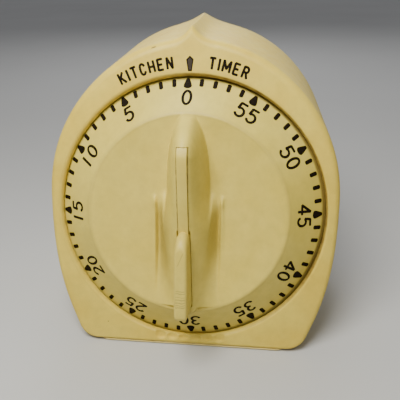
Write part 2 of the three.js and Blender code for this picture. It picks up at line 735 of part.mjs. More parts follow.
function buildPillars() {
  const front = FRONT_PLATE_Y + PLATE_THICKNESS + GAP;
  const back = BACK_PLATE_Y - GAP;
  const thread = MOVEMENT_END + NUT_HEIGHT + 0.8;
  PILLARS.forEach((p, i) => {
    const profile = [
      [0, FRONT_PLATE_Y],
      [PILLAR_NECK, FRONT_PLATE_Y],
      [PILLAR_NECK, front],
      [PILLAR_RADIUS, front],
      [PILLAR_RADIUS, back],
      [PILLAR_NECK, back],
      [PILLAR_NECK, thread],
      [0, thread],
    ];
    add(face, `pillar_${i + 1}`, STEEL, turned(p, profile, 8));
    const nut = new THREE.Shape();
    for (let k = 0; k < 6; k++) {
      const corner = at(NUT_RADIUS, k * 60).add(p);
      if (k === 0) nut.moveTo(corner.x, corner.y);
      else nut.lineTo(corner.x, corner.y);
    }
    const y0 = MOVEMENT_END + GAP;
    add(face, `pillar_nut_${i + 1}`, ZINC, slab(pierced(nut, p, PILLAR_NECK + GAP), y0, y0 + NUT_HEIGHT));
  });
  POSTS.forEach((p, i) => {
    const seat = FRONT_PLATE_Y + PLATE_THICKNESS + GAP;
    const shank = rod(p, POST_SCREW_RADIUS, FACE_FRONT + WALL + 2, seat + 0.5, 8);
    const screw = join(shank, rod(p, POST_SCREW_HEAD, seat, seat + 1.6));
    const slot = box(p.x - 3, p.x + 3, seat + 1, seat + 3, p.y - SLOT_HALF_WIDTH, p.y + SLOT_HALF_WIDTH);
    add(face, `movement_screw_${i + 1}`, ZINC, cut(screw, slot));
  });
}

// An arbor between the plates, with a collar that its wheel sits against.
function arbor(centre, collarStart, collarEnd) {
  return turned(
    centre,
    [
      [0, FRONT_PLATE_Y + END_SHAKE],
      [ARBOR_RADIUS, FRONT_PLATE_Y + END_SHAKE],
      [ARBOR_RADIUS, collarStart],
      [ARBOR_RADIUS + 1.1, collarStart],
      [ARBOR_RADIUS + 1.1, collarEnd],
      [ARBOR_RADIUS, collarEnd],
      [ARBOR_RADIUS, MOVEMENT_END - END_SHAKE],
      [0, MOVEMENT_END - END_SHAKE],
    ],
    10,
  );
}

// Distances of each layer of wheels behind the front plate's inner face.
const LAYER = FRONT_PLATE_Y + PLATE_THICKNESS;
const MAIN_LAYER = [LAYER + 1, LAYER + 2.2];
const CLICK_LAYER = [LAYER + 2.8, LAYER + 3.8];
const CAM_LAYER = [LAYER + 4.4, LAYER + 5.4];
const SECOND_LAYER = [LAYER + 4.2, LAYER + 5.2];
const THIRD_LAYER = [LAYER + 7.3, LAYER + 8.1];
const BALANCE_LAYER = [LAYER + 5.4, LAYER + 6.8];
const MAINSPRING_LAYER = [LAYER + 6.2, LAYER + 13.2];
const ESCAPE_LAYER = [LAYER + 10.8, LAYER + 11.6];
const PALLET_LAYER = [LAYER + 12.2, LAYER + 13];
const HAIRSPRING_LAYER = [LAYER + 14.2, LAYER + 14.9];

const SPRING_POST = at(14.6, -100);
const STUD = BALANCE.clone().add(at(6.6, 0));
const RATCHET_RADIUS = 7.5;
const CLICK_PIVOT = at(12.5, -60);
const CAM_RADIUS = 6;
const NOTCH_RADIUS = 4.4;

function buildMainArbor() {
  const arborProfile = [
    [0, ARBOR_FRONT + GAP],
    [MAIN_ARBOR_RADIUS, ARBOR_FRONT + GAP],
    [MAIN_ARBOR_RADIUS, BACK_PLATE_Y - GAP],
    [STEP_RADIUS, BACK_PLATE_Y - GAP],
    [STEP_RADIUS, MOVEMENT_END + 0.6],
    [0, MOVEMENT_END + 0.6],
  ];
  add(face, "main_arbor", STEEL, turned(MAIN, arborProfile, 16));
  const bore = MAIN_ARBOR_RADIUS + GAP;
  const rivetHole = new THREE.Path();
  rivetHole.absarc(CLICK_PIVOT.x, CLICK_PIVOT.y, RIVET_RADIUS + GAP, 0, FULL_TURN);
  const wheel = wheelShape(MAIN, SECOND, MAIN_TEETH, MAIN_MODULE, bore);
  wheel.holes.push(rivetHole);
  add(face, "main_wheel", BRASS, slab(wheel, ...MAIN_LAYER, 8));

  const ratchet = [];
  const count = 14;
  for (let i = 0; i < count; i++) {
    ratchet.push(at(RATCHET_RADIUS, (i * 360) / count), at(RATCHET_RADIUS - 1.5, (i * 360) / count + 2));
  }
  const ratchetShape = pierced(new THREE.Shape(ratchet), MAIN, bore);
  add(face, "ratchet_wheel", STEEL, slab(ratchetShape, ...CLICK_LAYER, 8));

  // A round cam with one notch.
  const cam = new THREE.Shape();
  cam.absarc(0, 0, CAM_RADIUS, -0.35, -0.35 - (FULL_TURN - 0.4), true);
  cam.lineTo(NOTCH_RADIUS * cos(-0.05), NOTCH_RADIUS * sin(-0.05));
  cam.lineTo(NOTCH_RADIUS * cos(-0.25), NOTCH_RADIUS * sin(-0.25));
  add(face, "trip_cam", STEEL, slab(pierced(cam, MAIN, bore), ...CAM_LAYER, 10));

  // The click lies beside the ratchet with its nose just off the teeth.
  const nose = at(RATCHET_RADIUS + GAP + LEVER_RADIUS, -95);
  const click = join(
    slab(capsule(CLICK_PIVOT, nose, LEVER_RADIUS), ...CLICK_LAYER, 4),
    rod(CLICK_PIVOT, 2, ...CLICK_LAYER),
  );
  const rivetEnd = CLICK_LAYER[1] + 0.25;
  add(face, "click", STEEL, cut(click, rod(CLICK_PIVOT, RIVET_RADIUS + GAP, MAIN_LAYER[0], rivetEnd)));
  const rivet = rod(CLICK_PIVOT, RIVET_RADIUS, MAIN_LAYER[0], rivetEnd, 8);
  add(face, "click_rivet", STEEL, rivet);

  const y = (CLICK_LAYER[0] + CLICK_LAYER[1]) / 2;
  const anchor = at(16.6, -92);
  const rest = at(11.2, -86);
  const middle = at(14.6, -84);
  const leaf = wire([[anchor.x, y, anchor.y], [middle.x, y, middle.y], [rest.x, y, rest.y]], 0.25, 6);
  const foot = rod(anchor, RIVET_RADIUS, MAIN_LAYER[1] + GAP, CLICK_LAYER[1] - 0.1, 8);
  add(face, "click_spring", SPRING_STEEL, join(leaf, foot));
}

const SPIRAL_STEPS = 14; // in each turn

// A flat spiral strip from an inner to an outer radius.
function spiralShape(centre, inner, outer, turns, strip, start) {
  const steps = Math.round(turns * SPIRAL_STEPS);
  const near = [];
  const far = [];
  for (let i = 0; i <= steps; i++) {
    const angle = start + (i / SPIRAL_STEPS) * FULL_TURN;
    const radius = THREE.MathUtils.lerp(inner, outer, i / steps);
    const along = new THREE.Vector2(cos(angle), sin(angle));
    near.push(along.clone().multiplyScalar(radius - strip / 2).add(centre));
    far.push(along.clone().multiplyScalar(radius + strip / 2).add(centre));
  }
  return new THREE.Shape([...near, ...far.reverse()]);
}

function buildMainspring() {
  const start = SPRING_POST.angle() - FULL_TURN / 2;
  const spiral = spiralShape(MAIN, MAIN_ARBOR_RADIUS + 0.6, 12.2, 4.5, 0.5, start);
  add(face, "mainspring", SPRING_STEEL, slab(spiral, ...MAINSPRING_LAYER));
  const post = turned(
    SPRING_POST,
    [
      [0, MAINSPRING_LAYER[0] - 0.3],
      [STEP_RADIUS, MAINSPRING_LAYER[0] - 0.3],
      [STEP_RADIUS, BACK_PLATE_Y - GAP],
      [SPRING_POST_END, BACK_PLATE_Y - GAP],
      [SPRING_POST_END, MOVEMENT_END],
      [0, MOVEMENT_END],
    ],
    12,
  );
  add(face, "mainspring_post", STEEL, post);
}

// One stage of the train: an arbor with its pinion cut on it, and the wheel that it carries.
function buildStage(name, centre, previous, next, stage) {
  const pinion = slab(pinionShape(centre, previous, stage.pinionModule), stage.pinion[0], stage.pinion[1]);
  const collar = [Math.min(stage.pinion[1], stage.wheel[0] - 1.2), stage.wheel[0] - GAP];
  add(face, `${name}_pinion`, STEEL, join(arbor(centre, ...collar), pinion));
  add(face, `${name}_wheel`, BRASS, slab(stage.shape(centre, next), ...stage.wheel, 6));
}

function escapeShape(centre) {
  const points = [];
  for (let i = 0; i < ESCAPE_TEETH; i++) {
    const degrees = (i * 360) / ESCAPE_TEETH;
    const root = ESCAPE_RADIUS - 2;
    points.push(at(ESCAPE_RADIUS, degrees).add(centre), at(ESCAPE_RADIUS, degrees + 3).add(centre));
    points.push(at(root, degrees + 7).add(centre), at(root, degrees + 17).add(centre));
  }
  return pierced(new THREE.Shape(points), centre, ARBOR_RADIUS + GAP);
}

function buildTrain() {
  const bore = ARBOR_RADIUS + GAP;
  buildStage("second", SECOND, MAIN, THIRD, {
    pinionModule: MAIN_MODULE,
    pinion: [MAIN_LAYER[0] - 0.4, MAIN_LAYER[1] + 0.6],
    wheel: SECOND_LAYER,
    shape: (centre, next) => wheelShape(centre, next, SECOND_TEETH, SECOND_MODULE, bore),
  });
  buildStage("third", THIRD, SECOND, ESCAPE, {
    pinionModule: SECOND_MODULE,
    pinion: [SECOND_LAYER[0] - 0.5, SECOND_LAYER[1] + 0.5],
    wheel: THIRD_LAYER,
    shape: (centre, next) => wheelShape(centre, next, THIRD_TEETH, THIRD_MODULE, bore),
  });
  buildStage("escape", ESCAPE, THIRD, PALLET, {
    pinionModule: THIRD_MODULE,
    pinion: [THIRD_LAYER[0] - 0.5, THIRD_LAYER[1] + 0.5],
    wheel: ESCAPE_LAYER,
    shape: escapeShape,
  });
}

function buildEscapement() {
  const bore = ARBOR_RADIUS + GAP;
  const [p0, p1] = PALLET_LAYER;
  add(face, "pallet_arbor", STEEL, arbor(PALLET, p0 - 2, p0 - GAP));
  const toEscape = THREE.MathUtils.radToDeg(angleTo(ESCAPE, PALLET));
  const pins = [-30, 30].map((side) => at(ESCAPE_RADIUS + 1.3, toEscape + side).add(ESCAPE));
  const tail = BALANCE.clone().sub(PALLET).multiplyScalar(1 - 3.4 / BALANCE_DISTANCE).add(PALLET);
  const lever = cut(
    join(
      rod(PALLET, HUB_ON_ARBOR, p0, p1),
      slab(capsule(PALLET, tail, LEVER_RADIUS), p0, p1, 4),
      ...pins.map((pin) => slab(capsule(PALLET, pin, LEVER_RADIUS), p0, p1, 4)),
      ...pins.map((pin) => rod(pin, 0.4, ESCAPE_LAYER[0], p0 + 0.2, 8)),
    ),
    rod(PALLET, bore, p0 - 1, p1 + 1),
  );
  add(face, "pallet_lever", BRASS, lever);

  const [b0, b1] = BALANCE_LAYER;
  add(face, "balance_staff", STEEL, arbor(BALANCE, b0 - 1.6, b0 - GAP));
  const spokes = [0, 60, 120].map((degrees) => {
    const arm = at(BALANCE_RADIUS - 1.2, degrees);
    return slab(capsule(BALANCE.clone().sub(arm), BALANCE.clone().add(arm), 0.8), b0, b1, 2);
  });
  const rim = ring(BALANCE, BALANCE_RADIUS - 2, BALANCE_RADIUS, b0, b1, 24);
  const wheel = join(rim, rod(BALANCE, HUB_ON_ARBOR, b0, b1), ...spokes);
  add(face, "balance_wheel", BRASS, cut(wheel, rod(BALANCE, bore, b0 - 1, b1 + 1)));

  const roller = ring(BALANCE, bore, HUB_ON_ARBOR - 0.2, p0 - 2.4, p0 - 1.6);
  const toPallet = THREE.MathUtils.radToDeg(angleTo(BALANCE, PALLET));
  const impulsePin = rod(at(1.8, toPallet).add(BALANCE), 0.3, p0 - 2, p0 - 0.6, 8);
  add(face, "impulse_roller", STEEL, join(roller, impulsePin));

  const hair = spiralShape(BALANCE, ARBOR_RADIUS + 0.5, 5.4, 4, 0.24, STUD.clone().sub(BALANCE).angle());
  add(face, "hairspring", SPRING_STEEL, slab(hair, ...HAIRSPRING_LAYER));
  add(face, "hairspring_stud", BRASS, rod(STUD, STUD_RADIUS, HAIRSPRING_LAYER[0] - 0.4, MOVEMENT_END, 12));
}

// ---------------------------------------------------------------- bell and hammer

const BELL_RIM_Y = MOVEMENT_END + 2.6;
const BELL_TOP_Y = BELL_RIM_Y + BELL_DEPTH;
const HAMMER_HEAD_RADIUS = 2.5;

function buildBell() {
  const outside = [];
  for (let i = 0; i <= 5; i++) {
    const turn = (i / 5) * (PI / 2);
    outside.push([BELL_RADIUS * cos(turn), BELL_RIM_Y + BELL_DEPTH * sin(turn)]);
  }
  const crown = outside.length - 1;
  outside[crown] = [1.8, BELL_TOP_Y];
  const inside = outside.map(([radius, y], i) => [
    i === crown ? radius : radius - BELL_WALL,
    i === 0 ? y : y - BELL_WALL,
  ]);
  add(face, "bell", ZINC, turned(BELL, [...outside, ...inside.reverse()], 24));
  const postTop = BELL_TOP_Y - BELL_WALL - GAP;
  const post = turned(
    BELL,
    [
      [0, BACK_PLATE_Y - 0.2],
      [STEP_RADIUS, BACK_PLATE_Y - 0.2],
      [STEP_RADIUS, MOVEMENT_END + GAP],
      [3, MOVEMENT_END + GAP],
      [3, postTop],
      [0, postTop],
    ],
    ROUND,
  );
  const threadHole = rod(BELL, POST_SCREW_RADIUS + GAP, postTop - 5, postTop + 1);
  add(face, "bell_post", STEEL, cut(post, threadHole));
  const screw = join(
    rod(BELL, POST_SCREW_RADIUS, postTop - 4, BELL_TOP_Y + 0.6, 8),
    rod(BELL, 3, BELL_TOP_Y + GAP, BELL_TOP_Y + 1.8),
  );
  const [slotFront, slotBack] = [BELL_TOP_Y + 1.2, BELL_TOP_Y + 3];
  const [low, high] = [BELL.y - SLOT_HALF_WIDTH, BELL.y + SLOT_HALF_WIDTH];
  const slot = box(BELL.x - 4, BELL.x + 4, slotFront, slotBack, low, high);
  add(face, "bell_screw", ZINC, cut(screw, slot));
}

function buildHammer() {
  // The head touches the rim square on, so the arm is a tangent from the hammer's arbor.
  const reach = BELL_RADIUS + HAMMER_HEAD_RADIUS + GAP;
  const away = HAMMER.distanceTo(BELL);
  const turn = THREE.MathUtils.radToDeg(angleTo(BELL, HAMMER) - Math.acos(reach / away));
  const head = at(reach, turn).add(BELL);
  const y0 = MOVEMENT_END + 0.6;
  const y1 = y0 + 1.2;
  const cap = y1 + 1.4;
  const shaft = turned(
    HAMMER,
    [
      [0, FRONT_PLATE_Y + END_SHAKE],
      [ARBOR_RADIUS, FRONT_PLATE_Y + END_SHAKE],
      [ARBOR_RADIUS, cap],
      [0, cap],
    ],
    12,
  );
  add(face, "hammer_arbor", STEEL, shaft);
  const arm = join(
    slab(capsule(HAMMER, head, 1.1), y0, y1, 4),
    rod(HAMMER, HUB_ON_ARBOR, y0, y1),
  );
  const bore = rod(HAMMER, ARBOR_RADIUS + GAP, y0 - 1, y1 + 1);
  add(face, "hammer_arm", STEEL, cut(arm, bore));
  add(face, "hammer_head", BRASS, rod(head, HAMMER_HEAD_RADIUS, y1 + GAP, y1 + 5));

  const finger = at(6.9, -18);
  const [c0, c1] = CAM_LAYER;
  const lever = join(
    slab(capsule(HAMMER, finger, 0.8), c0, c1, 4),
    rod(HAMMER, HUB_ON_ARBOR, c0, c1),
  );
  add(face, "trip_lever", STEEL, cut(lever, rod(HAMMER, ARBOR_RADIUS + GAP, c0 - 1, c1 + 1)));

  const coil = [];
  for (let i = 0; i <= 24; i++) {
    const angle = (i / 8) * FULL_TURN;
    coil.push([HAMMER.x + 2 * cos(angle), c1 + 1 + i * 0.13, HAMMER.y + 2 * sin(angle)]);
  }
  add(face, "hammer_spring", SPRING_STEEL, wire(coil, 0.3, 30));
}

buildCase();
buildBase();
buildBackCover();
buildDial();
buildPlates();
buildPillars();
buildMainArbor();
buildMainspring();
buildTrain();
buildEscapement();
buildBell();
buildHammer();

export default timer;
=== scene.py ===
"""A wind-up kitchen timer: cream moulded case, coned minute dial with a fin-shaped knob, and its movement.

Shapes are worked out in the face frame, in millimetres: x to the right, y into the case along the
dial's axis, z up the leaning face. "Height" is the distance in front of the circle of minute marks,
which is -y.
"""

import json
import math

import bmesh
import bpy
import numpy as np
from mathutils import Matrix, Vector


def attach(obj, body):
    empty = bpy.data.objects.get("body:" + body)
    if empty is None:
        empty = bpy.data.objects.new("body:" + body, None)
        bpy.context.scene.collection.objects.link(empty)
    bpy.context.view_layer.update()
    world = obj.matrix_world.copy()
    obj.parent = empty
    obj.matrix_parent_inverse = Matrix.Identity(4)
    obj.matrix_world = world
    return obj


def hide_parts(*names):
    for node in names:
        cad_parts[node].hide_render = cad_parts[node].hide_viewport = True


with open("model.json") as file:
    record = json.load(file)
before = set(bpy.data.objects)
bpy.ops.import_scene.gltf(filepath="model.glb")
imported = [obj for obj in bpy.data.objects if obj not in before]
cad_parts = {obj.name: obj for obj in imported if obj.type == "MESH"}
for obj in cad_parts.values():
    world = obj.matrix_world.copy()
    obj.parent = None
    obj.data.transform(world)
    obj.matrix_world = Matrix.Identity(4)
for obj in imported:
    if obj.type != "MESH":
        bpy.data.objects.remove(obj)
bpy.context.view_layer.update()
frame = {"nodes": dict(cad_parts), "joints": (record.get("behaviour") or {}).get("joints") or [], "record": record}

MM = 0.001

# ---------------------------------------------------------------- sizes, in millimetres

CASE_HALF_WIDTH = 44.7
CASE_SHIFT = 0.45  # the case stands this far right of the dial's axis
ARCH_HEIGHT = 48.75
ARCH_CENTRE = 3.9
TIP_RISE = 2.9  # of the peak at the back
TIP_SPREAD = 4.0
FRONT_TIP_RISE = 3.6
FRONT_TIP_SPREAD = 2.3
FRONT_FALL = 1.6  # how much lower the arch is at the face than at the back
CASE_DROP = 43.85
CASE_TAPER = 9.9
CORNER = 7.0
WALL = 2.2
FACE_FRONT = -1.2
BACK = 29.0
COVER_THICKNESS = 2.2
COVER_GAP = 0.18
SOUND_SLOTS = 5
SOUND_SLOT_PITCH = 6.0
SOUND_SLOT_RADIUS = 1.2
SOUND_SLOT_REACH = 17.0  # half length of the longest slot
SCREW_HEAD_RADIUS = 2.7
SCREW_LENGTH = 9.0
SCREW_SLOT_HALF = 0.36
SCREW_TURNS = (0.3, -0.7, 1.1, 0.15)  # how each cover screw's slot lies, in radians
OPENING_RADIUS = 40.8
BEVEL_RADIUS = 41.75
LIP_BACK = 0.5  # back of the opening's lip, in front of the dial's edge
FLUTE_COUNT = 6
FLUTE_PITCH = 3.75
FLUTE_RADIUS = 2.2
FLUTE_DEPTH = 1.0
FLUTE_FOOT = 1.5  # height over the case's lower edge at which the grooves end
BASE_THICKNESS = 0.5
BASE_SHIFT = 0.7  # the base stands this far right of the dial's axis
BASE_HALF_WIDTH = 30.4
GAP = 0.3
COVER_FOOT = 1.0  # height of the cover's lower edge
FLUTES_HALF = (FLUTE_COUNT - 1) * FLUTE_PITCH / 2 + FLUTE_RADIUS

DIAL_RADIUS = 41.3
DIAL_EDGE = 0.8
TICK_RADIUS = 39.0
DIAL_SLOPE = 0.664
DIAL_WALL = 1.8
RIM_RADIUS = 30.1
BOWL_HEIGHT = 2.6
HUB_RADIUS = 6.0
HUB_BACK = 6.4
BUSH_RADIUS = 3.3
BORE_END = -2.0  # of the hub's bore
SCOOP_EDGE = 10.0
SCOOP_FOOT = 9.3  # where the scoop's outer wall starts to rise
SCOOP_DEPTH = 1.25  # below the bowl
PEAK_HEIGHT = 17.6
PEAK_Z = 20.0  # above this the boss's crest is level
CREST_FALL = 0.0984  # of the crest below that
CREST_LOW = 7.75
NOSE_START = 17.5  # where the crest begins to round down to the nose's tip
NOSE_HALF = 6.7
KEEL_FOOT = -28.4  # where the keel's round foot begins
KEEL_FOOT_HALF = 3.7
KEEL_FOOT_LENGTH = 3.1
KNEE_SHARE = 0.46  # height of the keel's knees, of its crest's height
NUB_Z = 3.6  # where the raised edges start in a small nub
GRIP_HEIGHT = 19.05
FOOT_ROUNDING = 1.5  # of the grip's front lower corner
GRIP_HALF = 1.85
STRIP_HALF = 1.42
STRIP_TOP = 21.3
BLADE_TOP = -2.8
BLADE_FOOT = -27.9
BLADE_ARCH = 1.3  # share of a round arch in the grip's upper end
BLADE_NOSE = (4.6, 5.2)  # how far the grip's upper front corner is rounded, along it and in height
INSERT_DEEP = 6.6  # height of the insert's inner end
SLOT_GAP = 0.11
SLOT_DEPTH = 1.1
NOSE_TIP = 30.6

RIM_HEIGHT = (TICK_RADIUS - RIM_RADIUS) * DIAL_SLOPE

# ---------------------------------------------------------------- the face frame, from the dial's joint

turn = next(j for j in frame["joints"] if j["name"] == "dial_turn")
ORIGIN = np.array(turn["pos_m"]) / MM
AXIS = np.array(turn["axis"])
UP = np.array([0.0, -AXIS[2], AXIS[1]])
LEAN_TAN = UP[1] / UP[2]


def placed(points):
    """Face-frame points in millimetres as row-frame points in metres."""
    points = np.asarray(points, float)
    x, y, z = points[:, 0:1], points[:, 1:2], points[:, 2:3]
    return (ORIGIN + x * np.array([1.0, 0, 0]) + y * AXIS + z * UP) * MM


def unplaced(points):
    """Row-frame points in metres as face-frame points in millimetres."""
    offset = np.asarray(points, float) / MM - ORIGIN
    return np.stack([offset[:, 0], offset @ AXIS, offset @ UP], 1)


def back_depth(z, plane):
    """Face-frame y at which a level line from height z on the case's front plane meets an upright plane."""
    share = LEAN_TAN * UP[1] * FACE_FRONT
    return (plane - ORIGIN[1] - z * UP[1] + share) * UP[2]


def levelled(points):
    """Lifts points as they go back, so that the case's walls run level."""
    out = np.array(points, float)
    out[:, 2] += (out[:, 1] - FACE_FRONT) * LEAN_TAN
    return out


# ---------------------------------------------------------------- meshes


def raw_mesh(points, faces, merged=False, name="scratch"):
    """A closed mesh object from row-frame points in metres, with its faces turned outwards."""
    data = bpy.data.meshes.new(name)
    data.from_pydata([tuple(p) for p in points], [], [tuple(int(i) for i in f) for f in faces])
    work = bmesh.new()
    work.from_mesh(data)
    if merged:
        bmesh.ops.remove_doubles(work, verts=work.verts, dist=1e-7)
    bmesh.ops.recalc_face_normals(work, faces=work.faces)
    work.to_mesh(data)
    work.free()
    obj = bpy.data.objects.new(name, data)
    bpy.context.scene.collection.objects.link(obj)
    return obj


def mesh_object(name, points, faces, body, material, stands_for=(), sharp=32.0):
    finish_mesh(raw_mesh(points, faces, True, name), body, material, stands_for, sharp)


def dress(data, material):
    """Gives a mesh its material, and keeps each point's face-frame place for it."""
    co = np.zeros(len(data.vertices) * 3)
    data.vertices.foreach_get("co", co)
    place = data.attributes.new("face_place", "FLOAT_VECTOR", "POINT")
    place.data.foreach_set("vector", unplaced(co.reshape(-1, 3)).astype(np.float32).ravel())
    data.materials.clear()
    data.materials.append(material)


def finish_mesh(obj, body, material, stands_for=(), sharp=32.0):
    """Shades and dresses a mesh, and hands it to its body."""
    data = obj.data
    data.validate()
    for polygon in data.polygons:
        polygon.use_smooth = True
    data.set_sharp_from_angle(angle=math.radians(sharp))
    dress(data, material)
    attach(obj, body)
    if stands_for:
        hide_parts(*stands_for)


def band_of_faces(first, second):
    """Quads between two closed rings of point numbers."""
    count = len(first)
    return [(first[c], first[(c + 1) % count], second[(c + 1) % count], second[c]) for c in range(count)]


def grid_faces(rows, columns):
    """Quads between consecutive rings of points."""
    starts = [r * columns for r in range(rows)]
    return [
        face
        for a, b in zip(starts, starts[1:])
        for face in band_of_faces(range(a, a + columns), range(b, b + columns))
    ]


def turned(profile, centre=(0.0, 0.0), sides=96):
    """A turned solid from [radius, y] points that start and end on the axis, or close on themselves."""
    profile = list(profile)
    points, faces, rings = [], [], []
    for radius, y in profile:
        if radius < 1e-6:
            rings.append([len(points)])
            points.append((centre[0], y, centre[1]))
        else:
            rings.append(list(range(len(points), len(points) + sides)))
            for k in range(sides):
                angle = 2 * math.pi * k / sides
                points.append((centre[0] + radius * math.cos(angle), y, centre[1] + radius * math.sin(angle)))
    pairs = list(zip(rings, rings[1:]))
    if profile[0][0] > 1e-6:
        pairs.append((rings[-1], rings[0]))
    for a, b in pairs:
        for k in range(sides):
            n = (k + 1) % sides
            corners = [a[k % len(a)], a[n % len(a)], b[n % len(b)], b[k % len(b)]]
            unique = list(dict.fromkeys(corners))
            if len(unique) > 2:
                faces.append(unique)
    return points, faces


def combine(obj, others, operation="DIFFERENCE"):
    """Cuts closed objects from a closed object, or joins them to it, and removes them."""
    for other in others:
        change = obj.modifiers.new("combine", "BOOLEAN")
        change.operation = operation
        change.solver = "EXACT"
        change.object = other
    bpy.context.view_layer.update()
    evaluated = obj.evaluated_get(bpy.context.evaluated_depsgraph_get())
    data = bpy.data.meshes.new_from_object(evaluated)
    obj.modifiers.clear()
    obj.data = data
    for other in others:
        bpy.data.objects.remove(other)


def loft(rings):
    """A closed solid through rings of equal length, with flat ends."""
    count = len(rings[0])
    points = [p for ring in rings for p in ring]
    faces = grid_faces(len(rings), count)
    faces.append(tuple(range(count))[::-1])
    faces.append(tuple(range(len(points) - count, len(points))))
    return points, faces


# ---------------------------------------------------------------- materials


class Shading:
    """A small helper that builds a material's nodes."""

    def __init__(self, name):
        self.material = bpy.data.materials.new(name)
        self.material.use_nodes = True
        self.tree = self.material.node_tree
        self.shader = self.tree.nodes["Principled BSDF"]

    def put(self, target, value):
        """Joins a socket to a value that other nodes work out, or sets a plain value on it."""
        if isinstance(value, bpy.types.NodeSocket):
            self.tree.links.new(value, target)
        else:
            target.default_value = value

    def new(self, kind, inputs, **settings):
        node = self.tree.nodes.new(kind)
        for name, value in settings.items():
            setattr(node, name, value)
        for name, value in inputs.items():
            self.put(node.inputs[name], value)
        return node

    def feed(self, name, value):
        self.put(self.shader.inputs[name], value)

    def place(self, scale=(1, 1, 1)):
        """The face-frame place in millimetres, stretched."""
        attribute = self.new("ShaderNodeAttribute", {}, attribute_name="face_place").outputs["Vector"]
        return self.new("ShaderNodeMapping", {"Scale": scale, "Vector": attribute}).outputs["Vector"]

    def noise(self, vector, scale, detail=3.0, rough=0.55, distortion=0.0):
        inputs = {"Vector": vector, "Scale": scale, "Detail": detail, "Roughness": rough}
        inputs["Distortion"] = distortion
        return self.new("ShaderNodeTexNoise", inputs).outputs["Fac"]

    def ramp(self, value, low, high, start=0.0, end=1.0):
        inputs = {"Value": value, "From Min": low, "From Max": high, "To Min": start, "To Max": end}
        return self.new("ShaderNodeMapRange", inputs).outputs["Result"]

    def math(self, operation, *values):
        return self.new("ShaderNodeMath", dict(enumerate(values)), operation=operation).outputs[0]

    def mix(self, factor, a, b):
        """A colour between two. The node's colour sockets are numbers 6 and 7, and its colour output is 2."""
        return self.new("ShaderNodeMix", {0: factor, 6: a, 7: b}, data_type="RGBA").outputs[2]

    def product(self, first, *others):
        for other in others:
            first = self.math("MULTIPLY", first, other)
        return first

    def bump(self, height, strength, distance, before=None):
        inputs = {"Height": height, "Strength": strength, "Distance": distance}
        if before is not None:
            inputs["Normal"] = before
        return self.new("ShaderNodeBump", inputs).outputs["Normal"]

    def parts(self):
        """The face-frame place as separate x, y and z."""
        return self.new("ShaderNodeSeparateXYZ", {"Vector": self.place()}).outputs

    def band(self, value, centre, half, soft):
        """1 within half of the centre, falling to 0 over the soft distance."""
        away = self.math("ABSOLUTE", self.math("SUBTRACT", value, centre))
        return self.ramp(away, half, half + soft, 1.0, 0.0)

    def radius(self):
        x, _, z = self.parts()
        return self.math("SQRT", self.math("ADD", self.product(x, x), self.product(z, z)))


def srgb(r, g, b):
    def linear(c):
        c /= 255
        return c / 12.92 if c <= 0.04045 else ((c + 0.055) / 1.055) ** 2.4

    return linear(r), linear(g), linear(b), 1.0


DIRT = srgb(120, 94, 52)
GRIME = srgb(70, 52, 26)
# The seam colour below is painted shade, with some grime, for the dial's edge and the bevel round it.
SEAM_SHADE_AND_GRIME = srgb(110, 84, 42)


def aged_plastic(name, tone, yellowed, roughness):
    """Old glossy moulded plastic: yellowed in patches, fine pitting, handling specks and a dull film."""
    s = Shading(name)
    place = s.place()
    broad = s.ramp(s.noise(place, 0.045, 4.0, 0.6, 0.4), 0.38, 0.66)
    mottled = s.ramp(s.noise(place, 0.32, 5.0, 0.62), 0.32, 0.7)
    colour = s.mix(s.product(broad, 0.75), tone, yellowed)
    colour = s.mix(s.product(mottled, 0.14), colour, DIRT)
    speck = s.ramp(s.noise(place, 2.1, 2.0, 0.5), 0.735, 0.78)
    thin = s.ramp(s.noise(place, 0.11, 2.0, 0.5), 0.45, 0.6)
    s.colour = s.mix(s.product(speck, thin, 0.55), colour, DIRT)
    uneven = s.noise(place, 0.5, 5.0, 0.65)
    s.feed("Roughness", s.ramp(uneven, 0.3, 0.72, roughness - 0.07, roughness + 0.12))
    ripple = s.bump(s.noise(place, 0.35, 2.0, 0.4), 0.35, 0.00010)
    grain = s.bump(s.noise(place, 3.2, 3.0, 0.6), 0.22, 0.00003, ripple)
    scratch_lines = s.noise(s.place((0.35, 0.35, 5.5)), 1.4, 2.0, 0.5, 0.25)
    normal = s.bump(s.ramp(scratch_lines, 0.66, 0.72), 0.10, 0.00002, grain)
    s.feed("Normal", normal)
    s.feed("IOR", 1.49)
    s.feed("Specular IOR Level", 0.35)
    s.feed("Subsurface Weight", 0.04)
    s.feed("Subsurface Radius", (0.9, 0.8, 0.55))
    s.feed("Subsurface Scale", 0.0012)
    return s


def painted(s, mask, colour):
    """Lays a colour over what the material has so far."""
    s.colour = s.mix(mask, s.colour, colour)


def closed_off(s):
    s.feed("Base Color", s.colour)
    return s.material


def upper_right(s, x, z, least):
    """Rises from the least to 1 towards the upper right of the face, where the painted shade round the opening is
    heaviest.
    """
    across = s.math("ADD", s.product(x, 0.9), s.product(z, 0.45))
    return s.ramp(across, -8.0, 26.0, least, 1.0)


def case_plastic():
    s = aged_plastic("case_plastic", srgb(229, 203, 88), srgb(219, 187, 68), 0.44)
    radius = s.radius()
    x, y, z = s.parts()
    # Painted shade in the bevel round the dial, with some ragged grime, heavier at the upper right.
    ring = s.ramp(radius, 41.55, 41.85, 1.0, 0.0)
    near_front = s.ramp(y, 1.6, 2.2, 1.0, 0.0)
    ragged = s.ramp(s.noise(s.place(), 0.55, 3.0, 0.6), 0.3, 0.62, 0.6, 0.9)
    painted(s, s.product(ring, near_front, ragged, upper_right(s, x, z, 0.12)), SEAM_SHADE_AND_GRIME)
    # A dark nick beside the peak, and a speck low on the left.
    in_front = s.ramp(y, 5.0, 6.0, 1.0, 0.0)
    slanting = s.math("ADD", z, s.product(x, -0.3))
    nick = s.product(s.band(x, -10.7, 0.35, 0.5), s.band(slanting, 52.0, 0.10, 0.16))
    painted(s, s.product(nick, in_front, 0.8), GRIME)
    spot = s.product(s.band(x, -26.5, 0.08, 0.14), s.band(z, -37.5, 0.08, 0.14))
    painted(s, s.product(spot, in_front, 0.9), GRIME)
    return closed_off(s)


